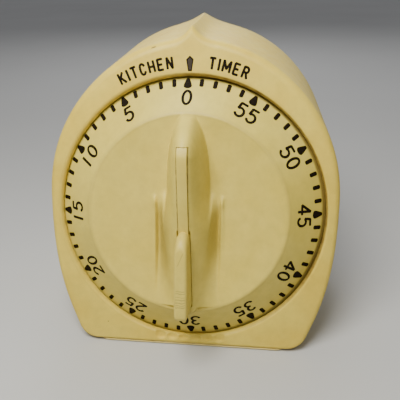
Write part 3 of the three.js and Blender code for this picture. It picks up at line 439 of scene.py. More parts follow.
def dial_plastic():
    s = aged_plastic("dial_plastic", srgb(225, 204, 98), srgb(213, 190, 78), 0.46)
    x, y, z = s.parts()
    radius = s.radius()
    # Dirt caught in the seam round the grip's insert.
    beside = s.band(s.math("ABSOLUTE", x), STRIP_HALF + 0.12, 0.12, 0.22)
    above_blade = s.ramp(z, BLADE_TOP - 0.6, BLADE_TOP, 0.0, 1.0)
    below_top = s.ramp(z, STRIP_TOP, STRIP_TOP + 0.3, 1.0, 0.0)
    patchy = s.ramp(s.noise(s.place(), 0.7, 3.0, 0.6), 0.35, 0.62, 0.25, 0.9)
    painted(s, s.product(beside, above_blade, below_top, patchy), srgb(128, 104, 60))
    # A slightly darker band along the rim's crease.
    painted(s, s.product(s.band(radius, RIM_RADIUS, 0.25, 0.7), 0.18), srgb(150, 126, 74))
    # Painted shade low in the finger scoops, heavier on the left.
    along = s.product(s.ramp(z, -1.0, 5.0, 1.0, 0.0), s.ramp(z, -25.0, -12.0, 0.0, 1.0))
    for middle, strength in ((-7.2, 0.42), (7.6, 0.2)):
        painted(s, s.product(s.band(x, middle, 0.9, 2.3), along, strength), srgb(120, 104, 60))
    # Painted shade darkens the dial's edge where it goes under the case's lip, heavier at the upper right.
    edge = s.ramp(radius, 40.0, 40.6, 0.0, 0.8)
    painted(s, s.product(edge, upper_right(s, x, z, 0.1)), SEAM_SHADE_AND_GRIME)
    return closed_off(s)


def grip_plastic():
    s = aged_plastic("grip_plastic", srgb(224, 203, 98), srgb(213, 188, 80), 0.44)
    x, y, z = s.parts()
    # Short lines worn across the grip's front by fingers.
    lines = 0.0
    for place_z, half in ((-18.6, 0.05), (-19.25, 0.08), (-20.4, 0.03), (-21.25, 0.09), (-22.1, 0.08),
                          (-22.8, 0.05), (-23.4, 0.09)):
        wavy = s.math("ADD", z, s.ramp(s.noise(s.place((0.5, 0.1, 0.3)), 1.2, 2.0), 0.3, 0.7, -0.16, 0.16))
        lines = s.math("MAXIMUM", s.band(wavy, place_z, half, 0.12), lines)
    outer = s.ramp(y, -GRIP_HEIGHT + 0.25, -GRIP_HEIGHT + 0.5, 1.0, 0.0)
    front = s.product(outer, s.band(x, 0.0, 1.15, 0.4))
    painted(s, s.product(lines, front, 0.42), srgb(120, 96, 52))
    # One long slanting scratch.
    slant = s.math("ADD", x, s.product(s.math("ADD", z, 9.3), -0.42))
    long_scratch = s.product(s.band(slant, 0.0, 0.05, 0.14), s.band(z, -9.3, 1.6, 0.6))
    painted(s, s.product(long_scratch, front, 0.35), srgb(120, 96, 52))
    return closed_off(s)


def base_plastic():
    return closed_off(aged_plastic("base_plastic", srgb(233, 215, 142), srgb(224, 200, 118), 0.5))


def ink(name, tone, worn):
    """Printed ink: uneven, dull, rubbed away in pinholes."""
    s = Shading(name)
    place = s.place()
    colour = s.mix(s.ramp(s.noise(place, 1.6, 3.0), 0.35, 0.7, 0.0, 0.6), tone, worn)
    pinholes = s.ramp(s.noise(place, 5.5, 2.0, 0.6), 0.71, 0.75)
    s.feed("Base Color", s.mix(s.product(pinholes, 0.5), colour, srgb(150, 128, 84)))
    s.feed("Roughness", s.ramp(s.noise(place, 2.0, 3.0), 0.3, 0.7, 0.6, 0.8))
    s.feed("Specular IOR Level", 0.12)
    s.feed("Normal", s.bump(s.noise(place, 4.0, 3.0), 0.3, 0.00002))
    return s.material


def metal(name, tone, dark, roughness, streak, streak_scale, blotch=0.35):
    """A worked metal with fine tool marks along one direction and dull patches of tarnish."""
    s = Shading(name)
    place = s.place()
    tarnish = s.ramp(s.noise(place, 0.28, 5.0, 0.65, 0.5), 0.36, 0.68)
    colour = s.mix(s.product(tarnish, blotch), tone, dark)
    marks = s.noise(s.place(streak), streak_scale, 4.0, 0.6)
    s.feed("Base Color", s.mix(s.ramp(marks, 0.35, 0.7, 0.0, 0.22), colour, dark))
    dulled = s.ramp(tarnish, 0.0, 1.0, roughness, roughness + 0.16)
    s.feed("Roughness", s.math("ADD", s.ramp(marks, 0.3, 0.7, -0.06, 0.08), dulled))
    s.feed("Normal", s.bump(marks, 0.25, 0.00002))
    s.feed("Metallic", 1.0)
    return s.material


CASE_MATERIAL = case_plastic()
DIAL_MATERIAL = dial_plastic()
GRIP_MATERIAL = grip_plastic()
BASE_MATERIAL = base_plastic()
INK = ink("printed_ink", srgb(20, 13, 4), srgb(34, 24, 10))
CASE_INK = ink("case_ink", srgb(22, 15, 6), srgb(38, 28, 14))
POINTER_GREY = ink("pointer_ink", srgb(58, 50, 42), srgb(74, 64, 52))
PLATE_BRASS = metal("plate_brass", srgb(206, 172, 96), srgb(128, 96, 44), 0.32, (0.25, 1, 6), 2.2)
WHEEL_BRASS = metal("wheel_brass", srgb(214, 180, 104), srgb(140, 104, 50), 0.26, (1, 5, 1), 3.0)
STEEL = metal("turned_steel", srgb(176, 178, 182), srgb(92, 92, 94), 0.28, (1, 6, 1), 3.0)
BLUED = metal("blued_steel", srgb(70, 84, 116), srgb(52, 50, 60), 0.24, (1, 1, 4), 3.0)
ZINC = metal("zinc_plating", srgb(196, 198, 202), srgb(128, 128, 126), 0.34, (3, 1, 1), 2.5)
BELL_METAL = metal("bell_nickel", srgb(206, 205, 200), srgb(140, 136, 126), 0.2, (1, 4, 1), 1.6, 0.2)

# ---------------------------------------------------------------- case


def lower_half_width(z):
    drop = np.clip((ARCH_CENTRE - z) / (ARCH_CENTRE + CASE_DROP), 0, None)
    return CASE_HALF_WIDTH - CASE_TAPER * drop**2.6


def tip_rise(x, rise, spread):
    return rise * np.exp(-((np.abs(x) / spread) ** 1.35))


def case_outline():
    """The case's outline from the bottom's middle round: plain, with the back's peak, and at the face."""
    corner_z = CORNER - CASE_DROP
    slope = math.atan(lower_half_width(corner_z + 0.5) - lower_half_width(corner_z - 0.5))
    side_z = corner_z - CORNER * math.sin(slope)
    corner_x = float(lower_half_width(side_z)) - CORNER * math.cos(slope)
    half = [(x, -CASE_DROP) for x in np.linspace(0, corner_x, 110)[:-1]]
    for angle in np.linspace(0, math.pi / 2 - slope, 14):
        half.append((corner_x + CORNER * math.sin(angle), corner_z - CORNER * math.cos(angle)))
    half += [(float(lower_half_width(z)), z) for z in np.linspace(side_z, ARCH_CENTRE, 70)[1:]]
    half += [
        (CASE_HALF_WIDTH * math.cos(a), ARCH_CENTRE + ARCH_HEIGHT * math.sin(a))
        for a in np.linspace(0, math.radians(78), 110)[1:]
    ]
    start = CASE_HALF_WIDTH * math.cos(math.radians(78))
    for x in start * (1 - np.linspace(0, 1, 54)[1:]) ** 1.35:
        half.append((x, ARCH_CENTRE + ARCH_HEIGHT * math.sqrt(1 - (x / CASE_HALF_WIDTH) ** 2)))
    right = np.array(half)
    left = right[1:-1][::-1] * np.array([-1, 1])
    arch = np.vstack([right, left])
    back, front = arch.copy(), arch.copy()
    upper = arch[:, 1] > ARCH_CENTRE
    back[upper, 1] += tip_rise(arch[upper, 0], TIP_RISE, TIP_SPREAD)
    front[upper, 1] += tip_rise(arch[upper, 0], FRONT_TIP_RISE, FRONT_TIP_SPREAD)
    front[:, 1] -= FRONT_FALL * smoothstep(arch[:, 1], 8, 44)
    return arch, back, front


def outward(loop):
    along = np.roll(loop, -1, 0) - np.roll(loop, 1, 0)
    along /= np.linalg.norm(along, axis=1, keepdims=True)
    return np.stack([along[:, 1], -along[:, 0]], 1)


def distance_to(loop, points):
    """Distance of each point from a closed line."""
    along = np.roll(loop, -1, 0) - loop
    p = points[:, None, :]
    t = np.clip(((p - loop) * along).sum(-1) / (along * along).sum(-1), 0, 1)
    return np.linalg.norm(p - (loop + along * t[..., None]), axis=-1).min(1)


def smoothstep(value, low, high):
    t = np.clip((value - low) / (high - low), 0, 1)
    return t * t * (3 - 2 * t)


def roll_radius(x, z):
    """How far the front edge is rolled over: a little wider along the arch, tight at the peak."""
    radius = 1.7 + 0.5 * smoothstep(z, -10, 30) - 0.6 * smoothstep(-z, 36, 42)
    at_peak = np.exp(-((x / 3.4) ** 2)) * (z > 30)
    return radius * (1 - at_peak) + 1.5 * at_peak


def flute_floor(x, z):
    """Depth of the upright grooves under the dial, measured back from the front plane."""
    first = -(FLUTE_COUNT - 1) * FLUTE_PITCH / 2
    nearest = np.clip(np.round((x - first) / FLUTE_PITCH), 0, FLUTE_COUNT - 1) * FLUTE_PITCH + first
    dx = np.abs(x - nearest)
    depth = FLUTE_DEPTH - (FLUTE_RADIUS - np.sqrt(np.clip(FLUTE_RADIUS**2 - dx**2, 0, None)))
    foot = FLUTE_FOOT - CASE_DROP + 0.9 * (dx / FLUTE_PITCH * 2) ** 2
    return np.where(dx < FLUTE_RADIUS, np.clip(depth, 0, None), 0) * smoothstep(z, foot - 0.25, foot + 0.25)


def build_case():
    arch, crown, peaked = case_outline()
    count = len(arch)
    angle = np.arctan2(peaked[:, 1], peaked[:, 0])
    ray = np.stack([np.cos(angle), np.sin(angle)], 1)
    reach = np.linalg.norm(peaked, axis=1)
    radius = roll_radius(peaked[:, 0], peaked[:, 1])
    rings = []

    def roll_depth(points):
        inset = np.clip(radius - distance_to(peaked, points), 0, None)
        return radius - np.sqrt(np.clip(radius**2 - inset**2, 0, None))

    def fluted(ring):
        low = (np.abs(ring[:, 0]) < FLUTES_HALF) & (ring[:, 2] < 0)
        ring[low, 1] = np.maximum(ring[low, 1], FACE_FRONT + flute_floor(ring[low, 0], ring[low, 2]))
        return ring

    # Opening's wall and rounded bevel, from the inside out.
    for r, y in ((OPENING_RADIUS, LIP_BACK), (OPENING_RADIUS, 0.2), (40.86, -0.2), (41.0, -0.55),
                 (41.24, -0.88), (41.5, -1.1), (BEVEL_RADIUS, FACE_FRONT + 0.01)):
        rings.append(fluted(np.column_stack([ray[:, 0] * r, np.full(count, y), ray[:, 1] * r])))
    # Front face, out to the rolled edge, in steps that close up towards the outline.
    closing = 0.55 + 0.45 * np.sin(np.linspace(0, math.pi / 2, 16))[1:]
    shares = np.concatenate([np.linspace(0.0, 0.55, 7)[1:], closing])
    for share in shares:
        r = BEVEL_RADIUS + (reach - BEVEL_RADIUS) * share
        flat = ray * r[:, None]
        depth = roll_depth(flat)
        ring = np.column_stack([flat[:, 0], FACE_FRONT + depth, flat[:, 1]])
        ring[:, 2] += depth * LEAN_TAN
        rings.append(fluted(ring))
    # Level side walls, the back edge, and the inner walls.
    front = FACE_FRONT + radius
    back = back_depth(crown[:, 1], BACK)
    inner = arch - outward(arch) * WALL
    for share in (0.03, 0.08, 0.16, 0.28, 0.4, 0.55, 0.7, 0.85, 1.0):
        y = front + (back - 0.5 - front) * share
        place = peaked + (crown - peaked) * share
        rings.append(levelled(np.column_stack([place[:, 0], y, place[:, 1]])))
    for inset, short in ((0.06, 0.15), (0.2, 0.0), (0.85, 0.0)):
        place = crown * (1 - inset) + inner * inset
        y = back_depth(place[:, 1], BACK) - short
        rings.append(levelled(np.column_stack([place[:, 0], y, place[:, 1]])))
    inner_back = back_depth(inner[:, 1], BACK)
    inside = FACE_FRONT + WALL
    for share in (0.006, 0.3, 0.6, 0.85, 0.97):
        y = inner_back + (inside - inner_back) * share
        rings.append(levelled(np.column_stack([inner[:, 0], y, inner[:, 1]])))
    inner_reach = np.linalg.norm(inner, axis=1)
    for share in (0.0, 0.5):
        r = inner_reach + (OPENING_RADIUS - inner_reach) * share
        flat = inner / inner_reach[:, None] * r[:, None]
        y = np.full(count, inside + (LIP_BACK - inside) * share)
        rings.append(np.column_stack([flat[:, 0], y, flat[:, 1]]))
    points = np.vstack(rings) + np.array([CASE_SHIFT, 0, 0])
    last = (len(rings) - 1) * count
    faces = grid_faces(len(rings), count) + band_of_faces(range(last, last + count), range(count))
    mesh_object("case_moulding", placed(points), faces, "case", CASE_MATERIAL,
                ["case_shell"], 38)
    return arch


ARCH = build_case()

# ---------------------------------------------------------------- back cover, screws and base


def cover_screw(side, height):
    z = (height - ORIGIN[2] + FACE_FRONT * UP[1]) / UP[2]
    inside = float(lower_half_width(min(z, ARCH_CENTRE))) - WALL - GAP
    return side * (inside - SCREW_HEAD_RADIUS - 1), height


COVER_SCREWS = [
    cover_screw(side, height)
    for height in (ORIGIN[2] + 3, COVER_FOOT + CORNER + 1.5)
    for side in (1, -1)
]


def rod_back(x, z, radii, sides=48):
    """A turned solid along world Y from [radius, y] pairs, in row-frame metres."""
    points, faces = turned(radii, (x, z), sides)
    return [(p[0] * MM, p[1] * MM, p[2] * MM) for p in points], faces


def build_back():
    outline = ARCH - outward(ARCH) * (WALL + COVER_GAP)
    depth = back_depth(outline[:, 1], BACK)
    world = placed(levelled(np.column_stack([outline[:, 0], depth, outline[:, 1]]))) / MM
    flat = world[:, [0, 2]]
    middle = np.array([0, 50.0])
    inside = BACK - COVER_THICKNESS
    rings = []
    edge = ((0.0, inside), (0.0, BACK - 0.5), (0.1, BACK - 0.18), (0.3, BACK - 0.04), (0.5, BACK - 0.04))
    for inset, y in edge:
        away = flat - middle
        place = middle + away * (1 - inset / np.linalg.norm(away, axis=1, keepdims=True))
        rings.append([(p[0] * MM, y * MM, p[1] * MM) for p in place])
    points, faces = loft(rings)
    cover = raw_mesh(points, faces)
    cutters = []
    for i in range(SOUND_SLOTS):
        from_middle = i - (SOUND_SLOTS - 1) // 2
        z = ORIGIN[2] - 4 + from_middle * SOUND_SLOT_PITCH
        reach = SOUND_SLOT_REACH - abs(from_middle) * 2.5
        slot_rings = []
        for y, r in ((inside - 1, SOUND_SLOT_RADIUS), (BACK - 0.45, SOUND_SLOT_RADIUS),
                     (BACK - 0.04, SOUND_SLOT_RADIUS + 0.35), (BACK + 1, SOUND_SLOT_RADIUS + 0.4)):
            ring = [
                (side * (reach + r * math.cos(angle)), y, z + side * r * math.sin(angle))
                for side in (1, -1)
                for angle in np.linspace(-math.pi / 2, math.pi / 2, 15)
            ]
            slot_rings.append([(a * MM, b * MM, c * MM) for a, b, c in ring])
        cutters.append(raw_mesh(*loft(slot_rings)))
    for x, z in COVER_SCREWS:
        cutters.append(raw_mesh(*rod_back(x, z, [
            (0, inside - 1), (1.6, inside - 1), (1.6, BACK - 1.2), (2.95, BACK - 1.2), (2.95, BACK - 0.3),
            (3.2, BACK - 0.02), (3.2, BACK + 1), (0, BACK + 1)])))
    combine(cover, cutters)
    cover.name = "back_cover_moulding"
    finish_mesh(cover, "case", CASE_MATERIAL, ["back_cover"], 28)

    for i, (x, z) in enumerate(COVER_SCREWS):
        tip = BACK - SCREW_LENGTH
        screw = raw_mesh(*rod_back(x, z, [
            (0, tip), (0.9, tip), (1.35, tip + 0.6), (1.35, BACK - 1.0), (2.45, BACK - 1.0),
            (2.65, BACK - 0.85), (SCREW_HEAD_RADIUS, BACK - 0.55), (2.5, BACK - 0.25), (2.0, BACK - 0.1),
            (1.2, BACK - 0.03), (0, BACK - 0.01)]))
        across = np.array([math.cos(SCREW_TURNS[i]), math.sin(SCREW_TURNS[i])])
        side = np.array([-across[1], across[0]])
        rings = []
        for y in (BACK - 0.6, BACK + 0.6):
            corners = [
                across * 3.4 * a + side * SCREW_SLOT_HALF * b
                for a, b in ((1, 1), (-1, 1), (-1, -1), (1, -1))
            ]
            rings.append([((x + c[0]) * MM, y * MM, (z + c[1]) * MM) for c in corners])
        combine(screw, [raw_mesh(*loft(rings))])
        screw.name = f"cover_screw_{i + 1}"
        finish_mesh(screw, "case", ZINC, [f"back_cover_screw_{i + 1}"], 30)


build_back()


def build_base():
    radius = 3.0
    rings = []
    side = BASE_HALF_WIDTH - radius
    front, rear = radius + 0.3 - BACK, BACK - 0.6 - radius
    corners = ((side, front, -90), (side, rear, 0), (-side, rear, 90), (-side, front, 180))
    edge = ((0.4, 0.0), (0.15, 0.03), (0.04, 0.1), (0.0, 0.18), (0.0, 0.32), (0.05, 0.41), (0.18, 0.48),
            (0.5, BASE_THICKNESS))
    for inset, z in edge:
        ring = []
        for cx, cy, start in corners:
            for k in range(13):
                angle = math.radians(start + 90 * k / 12)
                x = BASE_SHIFT + cx + (radius - inset) * math.cos(angle)
                ring.append((x * MM, (cy + (radius - inset) * math.sin(angle)) * MM, z * MM))
        rings.append(ring)
    points, faces = loft(rings)
    for x, y in ((22, 18), (-22, 18), (22, -20), (-22, -20)):
        peg, peg_faces = turned([(0, 0.4), (1.5, 0.4), (1.5, 3.7), (1.2, 4.0), (0, 4.0)], (x, y), 32)
        start = len(points)
        points += [(p[0] * MM, p[2] * MM, p[1] * MM) for p in peg]
        faces += [tuple(i + start for i in f) for f in peg_faces]
    mesh_object("base_moulding", points, faces, "case", BASE_MATERIAL, ["base_plate"], 30)


build_base()

# ---------------------------------------------------------------- dial with its knob


def smooth_min(a, b, k):
    h = np.clip(0.5 + 0.5 * (b - a) / k, 0, 1)
    return b * (1 - h) + a * h - k * h * (1 - h)


def plain_height(x, z):
    """The bowl inside the rim and the printed cone outside it."""
    r = np.hypot(x, z)
    bowl = BOWL_HEIGHT + (RIM_HEIGHT - BOWL_HEIGHT) * (r / RIM_RADIUS) ** 2
    cone = (TICK_RADIUS - r) * DIAL_SLOPE
    return smooth_min(bowl, cone, 0.42)


def crest_height(z):
    """The line along the top of the knob's boss."""
    low = np.maximum(PEAK_HEIGHT - CREST_FALL * np.clip(PEAK_Z - z, 0, None) ** 1.2, CREST_LOW)
    share = np.clip((z - NOSE_START) / (NOSE_TIP - NOSE_START), 0, 1)
    nose = RIM_HEIGHT - 1.2 + (PEAK_HEIGHT - 0.1 - RIM_HEIGHT + 1.2) * (1 - share**2.1)
    return np.where(z > NOSE_START, np.minimum(nose, low), low)


def nose_half(z):
    share = np.clip((z - 4) / (NOSE_TIP - 4), 0, 1)
    return NOSE_HALF * np.sqrt(np.clip(1 - share**2.4, 1e-6, 1))


def keel_half(z):
    return np.interp(z, [-31.5, -29, -24, -12, -4, 5], [3.5, 3.9, 4.7, 6.1, 6.9, 7.6])


def boss_height(x, z):
    base = plain_height(x, z)
    u = np.abs(x)
    crest = crest_height(z)
    # Rounded nose.
    share = np.clip(u / nose_half(z), 0, 1)
    nose = base + np.clip(crest - base, 0, None) * (1 - share**2.5) ** 1.15
    nose = np.where(z > NOSE_TIP, base, nose)
    # Keel with a finger scoop on each side.
    knee = keel_half(z)
    knee_height = base + KNEE_SHARE * (crest - base)
    top = crest - (crest - knee_height) * np.clip(u / knee, 0, 1) ** 1.9
    t = np.clip((u - knee) / (SCOOP_FOOT - knee), 0, 1)
    floor = base - SCOOP_DEPTH * smoothstep(-z, -6, 2) * (1 - smoothstep(-z, 10, 27))
    scoop = floor + (knee_height - floor) * (1 - t) ** 1.5
    keel = np.where(u < knee, top, scoop)
    # The keel ends in a round foot just past the rim.
    past = np.hypot(x / KEEL_FOOT_HALF, np.clip(KEEL_FOOT - z, 0, None) / KEEL_FOOT_LENGTH)
    ended = 1 - smoothstep(past, 0.78, 1.0)
    keel = np.where(z < KEEL_FOOT, base + (keel - base) * ended, keel)
    outside = smoothstep(u, SCOOP_FOOT, SCOOP_EDGE + 0.15)
    rim_fade = smoothstep(np.hypot(x, z), RIM_RADIUS + 0.2, RIM_RADIUS + 1.2)
    keel = np.where(u > knee, keel * (1 - outside) + base * outside, keel)
    scooped = smoothstep(-z, -8, 4)
    height = nose * (1 - scooped) + keel * scooped
    # Thin raised edges that start in a small nub and fade.
    fade = smoothstep(-z, -6.4, -4.4) * (1 - smoothstep(-z, 0, 16))
    height += 0.5 * fade * np.exp(-(((u - SCOOP_EDGE - 0.3) / 0.6) ** 2))
    height += 0.5 * np.exp(-(((u - SCOOP_EDGE - 0.1) / 0.8) ** 2) - ((z - NUB_Z) / 1.6) ** 2)
    inside_rim = z > -27.5
    return np.where(inside_rim | (u < knee + 2), height, base + (height - base) * (1 - rim_fade))


def insert_slot(x, z, height):
    """Sinks the surface where the grip's insert passes through it."""
    u = np.abs(x)
    gap = SLOT_GAP + 0.01
    strip = (u < STRIP_HALF + gap) & (z < STRIP_TOP + gap) & (z > BLADE_TOP - 2)
    blade = (u < GRIP_HALF + gap) & (z < BLADE_TOP + gap) & (z > BLADE_FOOT - gap)
    return np.where(strip | blade, height - SLOT_DEPTH, height)


def dial_lines():
    """Grid lines of the block round the knob, with close pairs where the insert's slot has its walls."""
    wall = 0.05
    strip, blade = STRIP_HALF + SLOT_GAP, GRIP_HALF + SLOT_GAP
    half = [0, 0.6, 1.2, strip, strip + wall, blade, blade + wall]
    half += [*np.arange(blade + 0.3, 11.4, 0.24), 11.5]
    xs = np.array(sorted({round(-v, 4) for v in half} | {round(v, 4) for v in half}))
    edges = [end + step for end in (STRIP_TOP + SLOT_GAP, BLADE_TOP + SLOT_GAP) for step in (0, wall)]
    edges += [BLADE_FOOT - SLOT_GAP, BLADE_FOOT - SLOT_GAP - wall]
    grid = [v for v in np.arange(-27.35, 27.41, 0.3) if min(abs(v - e) for e in edges) > 0.12]
    zs = np.array(sorted([round(v, 4) for v in grid + edges + [-27.38, 27.38]]))
    zs = zs[np.concatenate([[True], np.diff(zs) > 0.02])]
    return xs, zs


def surface_height(x, z):
    return insert_slot(x, z, boss_height(x, z))


def build_dial():
    xs, zs = dial_lines()
    nx, nz = len(xs), len(zs)
    gx, gz = np.meshgrid(xs, zs)
    flat = np.column_stack([gx.ravel(), gz.ravel()])
    points = [np.column_stack([flat[:, 0], -surface_height(flat[:, 0], flat[:, 1]), flat[:, 1]])]
    numbers = np.arange(nx * nz).reshape(nz, nx)
    quads = np.stack([numbers[:-1, :-1], numbers[:-1, 1:], numbers[1:, 1:], numbers[1:, :-1]], -1)
    faces = quads.reshape(-1, 4).tolist()
    edge = [*numbers[0], *numbers[1:, -1], *numbers[-1, -2::-1], *numbers[-2:0:-1, 0]]
    start_xy = flat[edge]
    count = len(edge)
    # From the block's edge to the rim, then down the cone to the dial's outer edge.
    angle = np.arctan2(start_xy[:, 1], start_xy[:, 0])
    ray = np.stack([np.cos(angle), np.sin(angle)], 1)
    rim = ray * (RIM_RADIUS - 0.6)
    flat_rings = [start_xy * (1 - share) + rim * share for share in np.linspace(0, 1, 46)[1:]]
    near_rim = np.linspace(RIM_RADIUS - 0.6, 33.2, 26)[1:]
    flat_rings += [ray * r for r in (*near_rim, *np.linspace(33.2, 40.9, 12)[1:], 41.1, DIAL_RADIUS)]
    rings = [np.column_stack([f[:, 0], -surface_height(f[:, 0], f[:, 1]), f[:, 1]]) for f in flat_rings]
    # Closed behind: the edge, the cone's inner side, the hub and its bore.
    edge_y = (DIAL_RADIUS - TICK_RADIUS) * DIAL_SLOPE + DIAL_EDGE
    behind = [(DIAL_RADIUS, edge_y), (RIM_RADIUS, DIAL_WALL * 1.2 - RIM_HEIGHT), (20, -2.2),
              (HUB_RADIUS + 1.0, -0.4), (HUB_RADIUS, -0.3), (HUB_RADIUS, HUB_BACK),
              (BUSH_RADIUS, HUB_BACK), (BUSH_RADIUS, BORE_END)]
    rings += [np.column_stack([ray[:, 0] * r, np.full(count, y), ray[:, 1] * r]) for r, y in behind]
    previous, total = edge, nx * nz
    for ring in rings:
        current = range(total, total + count)
        faces += band_of_faces(previous, current)
        previous, total = current, total + count
    faces += [(previous[c], previous[(c + 1) % count], total) for c in range(count)]
    points += rings + [np.array([[0, BORE_END, 0]])]
    mesh_object("dial_moulding", placed(np.vstack(points)), faces, "dial", DIAL_MATERIAL,
                ["dial"], 50)


build_dial()


def grip_outline(shape, inset, across=0.0):
    """Side view of the insert as (z, height) points, drawn in by the inset, at a place across it."""
    points = []
    if shape == "blade":
        top = GRIP_HEIGHT - inset
        set_back = BLADE_ARCH * (GRIP_HALF - math.sqrt(max(GRIP_HALF**2 - across**2, 0)))
        upper, foot = BLADE_TOP - set_back - inset * 0.4, BLADE_FOOT + inset
        for angle in np.linspace(0, math.pi / 2, 15):
            z = upper - BLADE_NOSE[0] * (1 - math.cos(angle))
            points.append((z, top - BLADE_NOSE[1] * (1 - math.sin(angle))))
        for angle in np.linspace(0, math.pi / 2, 13):
            z = foot + FOOT_ROUNDING * (1 - math.sin(angle))
            points.append((z, top - FOOT_ROUNDING * (1 - math.cos(angle))))
        points.append((foot, INSERT_DEEP))
        points.append((upper, INSERT_DEEP))
    else:
        upper, lower = STRIP_TOP - inset * 0.4, BLADE_TOP - 4
        for z in np.linspace(upper, lower, 50):
            points.append((z, float(crest_height(np.array(z))) + 0.06 - inset * 0.45))
        points.append((lower, INSERT_DEEP))
        points.append((upper, INSERT_DEEP))
    return points


def grip_solid(shape, half, rounding):
    rings = []
    for side in (-1, 1):
        steps = np.linspace(0, math.pi / 2, 7)
        for angle in steps if side < 0 else steps[::-1]:
            x = side * (half - rounding * (1 - math.cos(angle)))
            inset = rounding * (1 - math.sin(angle))
            rings.append([(x, -h, z) for z, h in grip_outline(shape, inset, x)])
        if side < 0:
            for x in np.linspace(-(half - rounding), half - rounding, 7)[1:-1]:
                rings.append([(x, -h, z) for z, h in grip_outline(shape, 0.0, x)])
    return loft(rings)


def build_grip():
    strip_points, strip_faces = grip_solid("strip", STRIP_HALF, 0.22)
    blade_points, blade_faces = grip_solid("blade", GRIP_HALF, 0.85)
    strip = raw_mesh(placed(strip_points), strip_faces)
    blade = raw_mesh(placed(blade_points), blade_faces)
    combine(blade, [strip], "UNION")
    blade.name = "grip_insert"
    finish_mesh(blade, "dial", GRIP_MATERIAL, ["knob_grip"], 40)


build_grip()

# ---------------------------------------------------------------- printed marks

LIFT = 0.025  # the ink stands this far proud
SUNK = 0.12
CAP = 0.55  # how round the strokes' ends are


def dial_surface(x, z):
    return -plain_height(x, z)


def case_surface(x, z):
    return np.full(np.shape(x), FACE_FRONT)


class Print:
    """Closed ink strokes laid on a surface, gathered into one piece."""

    def __init__(self, surface):
        self.surface = surface
        self.points, self.faces = [], []

    def stroke(self, path, half, to_face, loop=False):
        """A ribbon along a path, carried to the face by to_face. Half is one width or one for each point."""
        path = np.asarray(path, float)
        if loop:
            along = np.roll(path, -1, 0) - np.roll(path, 1, 0)
        else:
            along = np.gradient(path, axis=0)
        along /= np.linalg.norm(along, axis=1, keepdims=True) + 1e-12
        side = np.stack([-along[:, 1], along[:, 0]], 1)
        halves = np.broadcast_to(half, len(path)).astype(float)
        if not loop:
            caps = []
            for end, sign in ((0, -1), (-1, 1)):
                extra = []
                for angle in (0.5, 0.95, 1.35):
                    reach = halves[end] * CAP * math.sin(angle)
                    tip = path[end] + along[end] * sign * reach
                    extra.append((tip, side[end], halves[end] * math.cos(angle)))
                caps.append(extra)
            path = np.vstack([[e[0] for e in caps[0]][::-1], path, [e[0] for e in caps[1]]])
            side = np.vstack([[e[1] for e in caps[0]][::-1], side, [e[1] for e in caps[1]]])
            halves = np.concatenate([[e[2] for e in caps[0]][::-1], halves, [e[2] for e in caps[1]]])
        left, right = to_face(path + side * halves[:, None]), to_face(path - side * halves[:, None])
        start = len(self.points)
        for a, b in zip(left, right):
            for (x, z), lift in ((a, LIFT), (b, LIFT), (b, -SUNK), (a, -SUNK)):
                y = float(self.surface(np.array(x), np.array(z))) - lift
                self.points.append((x, y, z))
        sections = [range(start + 4 * row, start + 4 * row + 4) for row in range(len(left))]
        for a, b in zip(sections, sections[1:] + sections[:1] if loop else sections[1:]):
            self.faces += band_of_faces(a, b)
        if not loop:
            self.faces += [tuple(sections[0]), tuple(reversed(sections[-1]))]

    def finish(self, name, body, material):
        mesh_object(name, placed(self.points), self.faces, body, material, sharp=40)



def arc(cx, cy, rx, ry, start, end, steps=18):
    return [
        (cx + rx * math.cos(math.radians(a)), cy + ry * math.sin(math.radians(a)))
        for a in np.linspace(start, end, steps)
    ]


def line(*corners, step=0.12):
    points = []
    for (ax, ay), (bx, by) in zip(corners, corners[1:]):
        count = max(2, int(math.hypot(bx - ax, by - ay) / step))
        points += [(ax + (bx - ax) * t, ay + (by - ay) * t) for t in np.linspace(0, 1, count)[:-1]]
    return points + [corners[-1]]


# Each glyph is a list of paths in a box one unit wide and high.
DIGITS = {
    "0": [arc(0.5, 0.5, 0.47, 0.5, 0, 348, 34)],
    "1": [line((0.5, 1.0), (0.5, 0.0))],
    "2": [
        arc(0.48, 0.72, 0.44, 0.28, 165, -28, 16) + line((0.80, 0.50), (0.03, 0.0))[1:],
        line((0.03, 0.0), (0.97, 0.0)),
    ],
    "3": [arc(0.46, 0.75, 0.40, 0.25, 150, -88, 18), arc(0.46, 0.26, 0.46, 0.26, 90, -152, 20)],
    "4": [line((0.70, 0.0), (0.70, 1.0)), line((0.70, 1.0), (0.0, 0.3)), line((0.0, 0.3), (1.0, 0.3))],
    "5": [
        line((0.88, 1.0), (0.2, 1.0)),
        line((0.2, 1.0), (0.13, 0.56)),
        arc(0.46, 0.32, 0.46, 0.32, 130, -150, 22),
    ],
}
CLOSED_DIGITS = "0"
LEFT_STEM = line((0, 0), (0, 1))
RIGHT_STEM = line((1, 0), (1, 1))

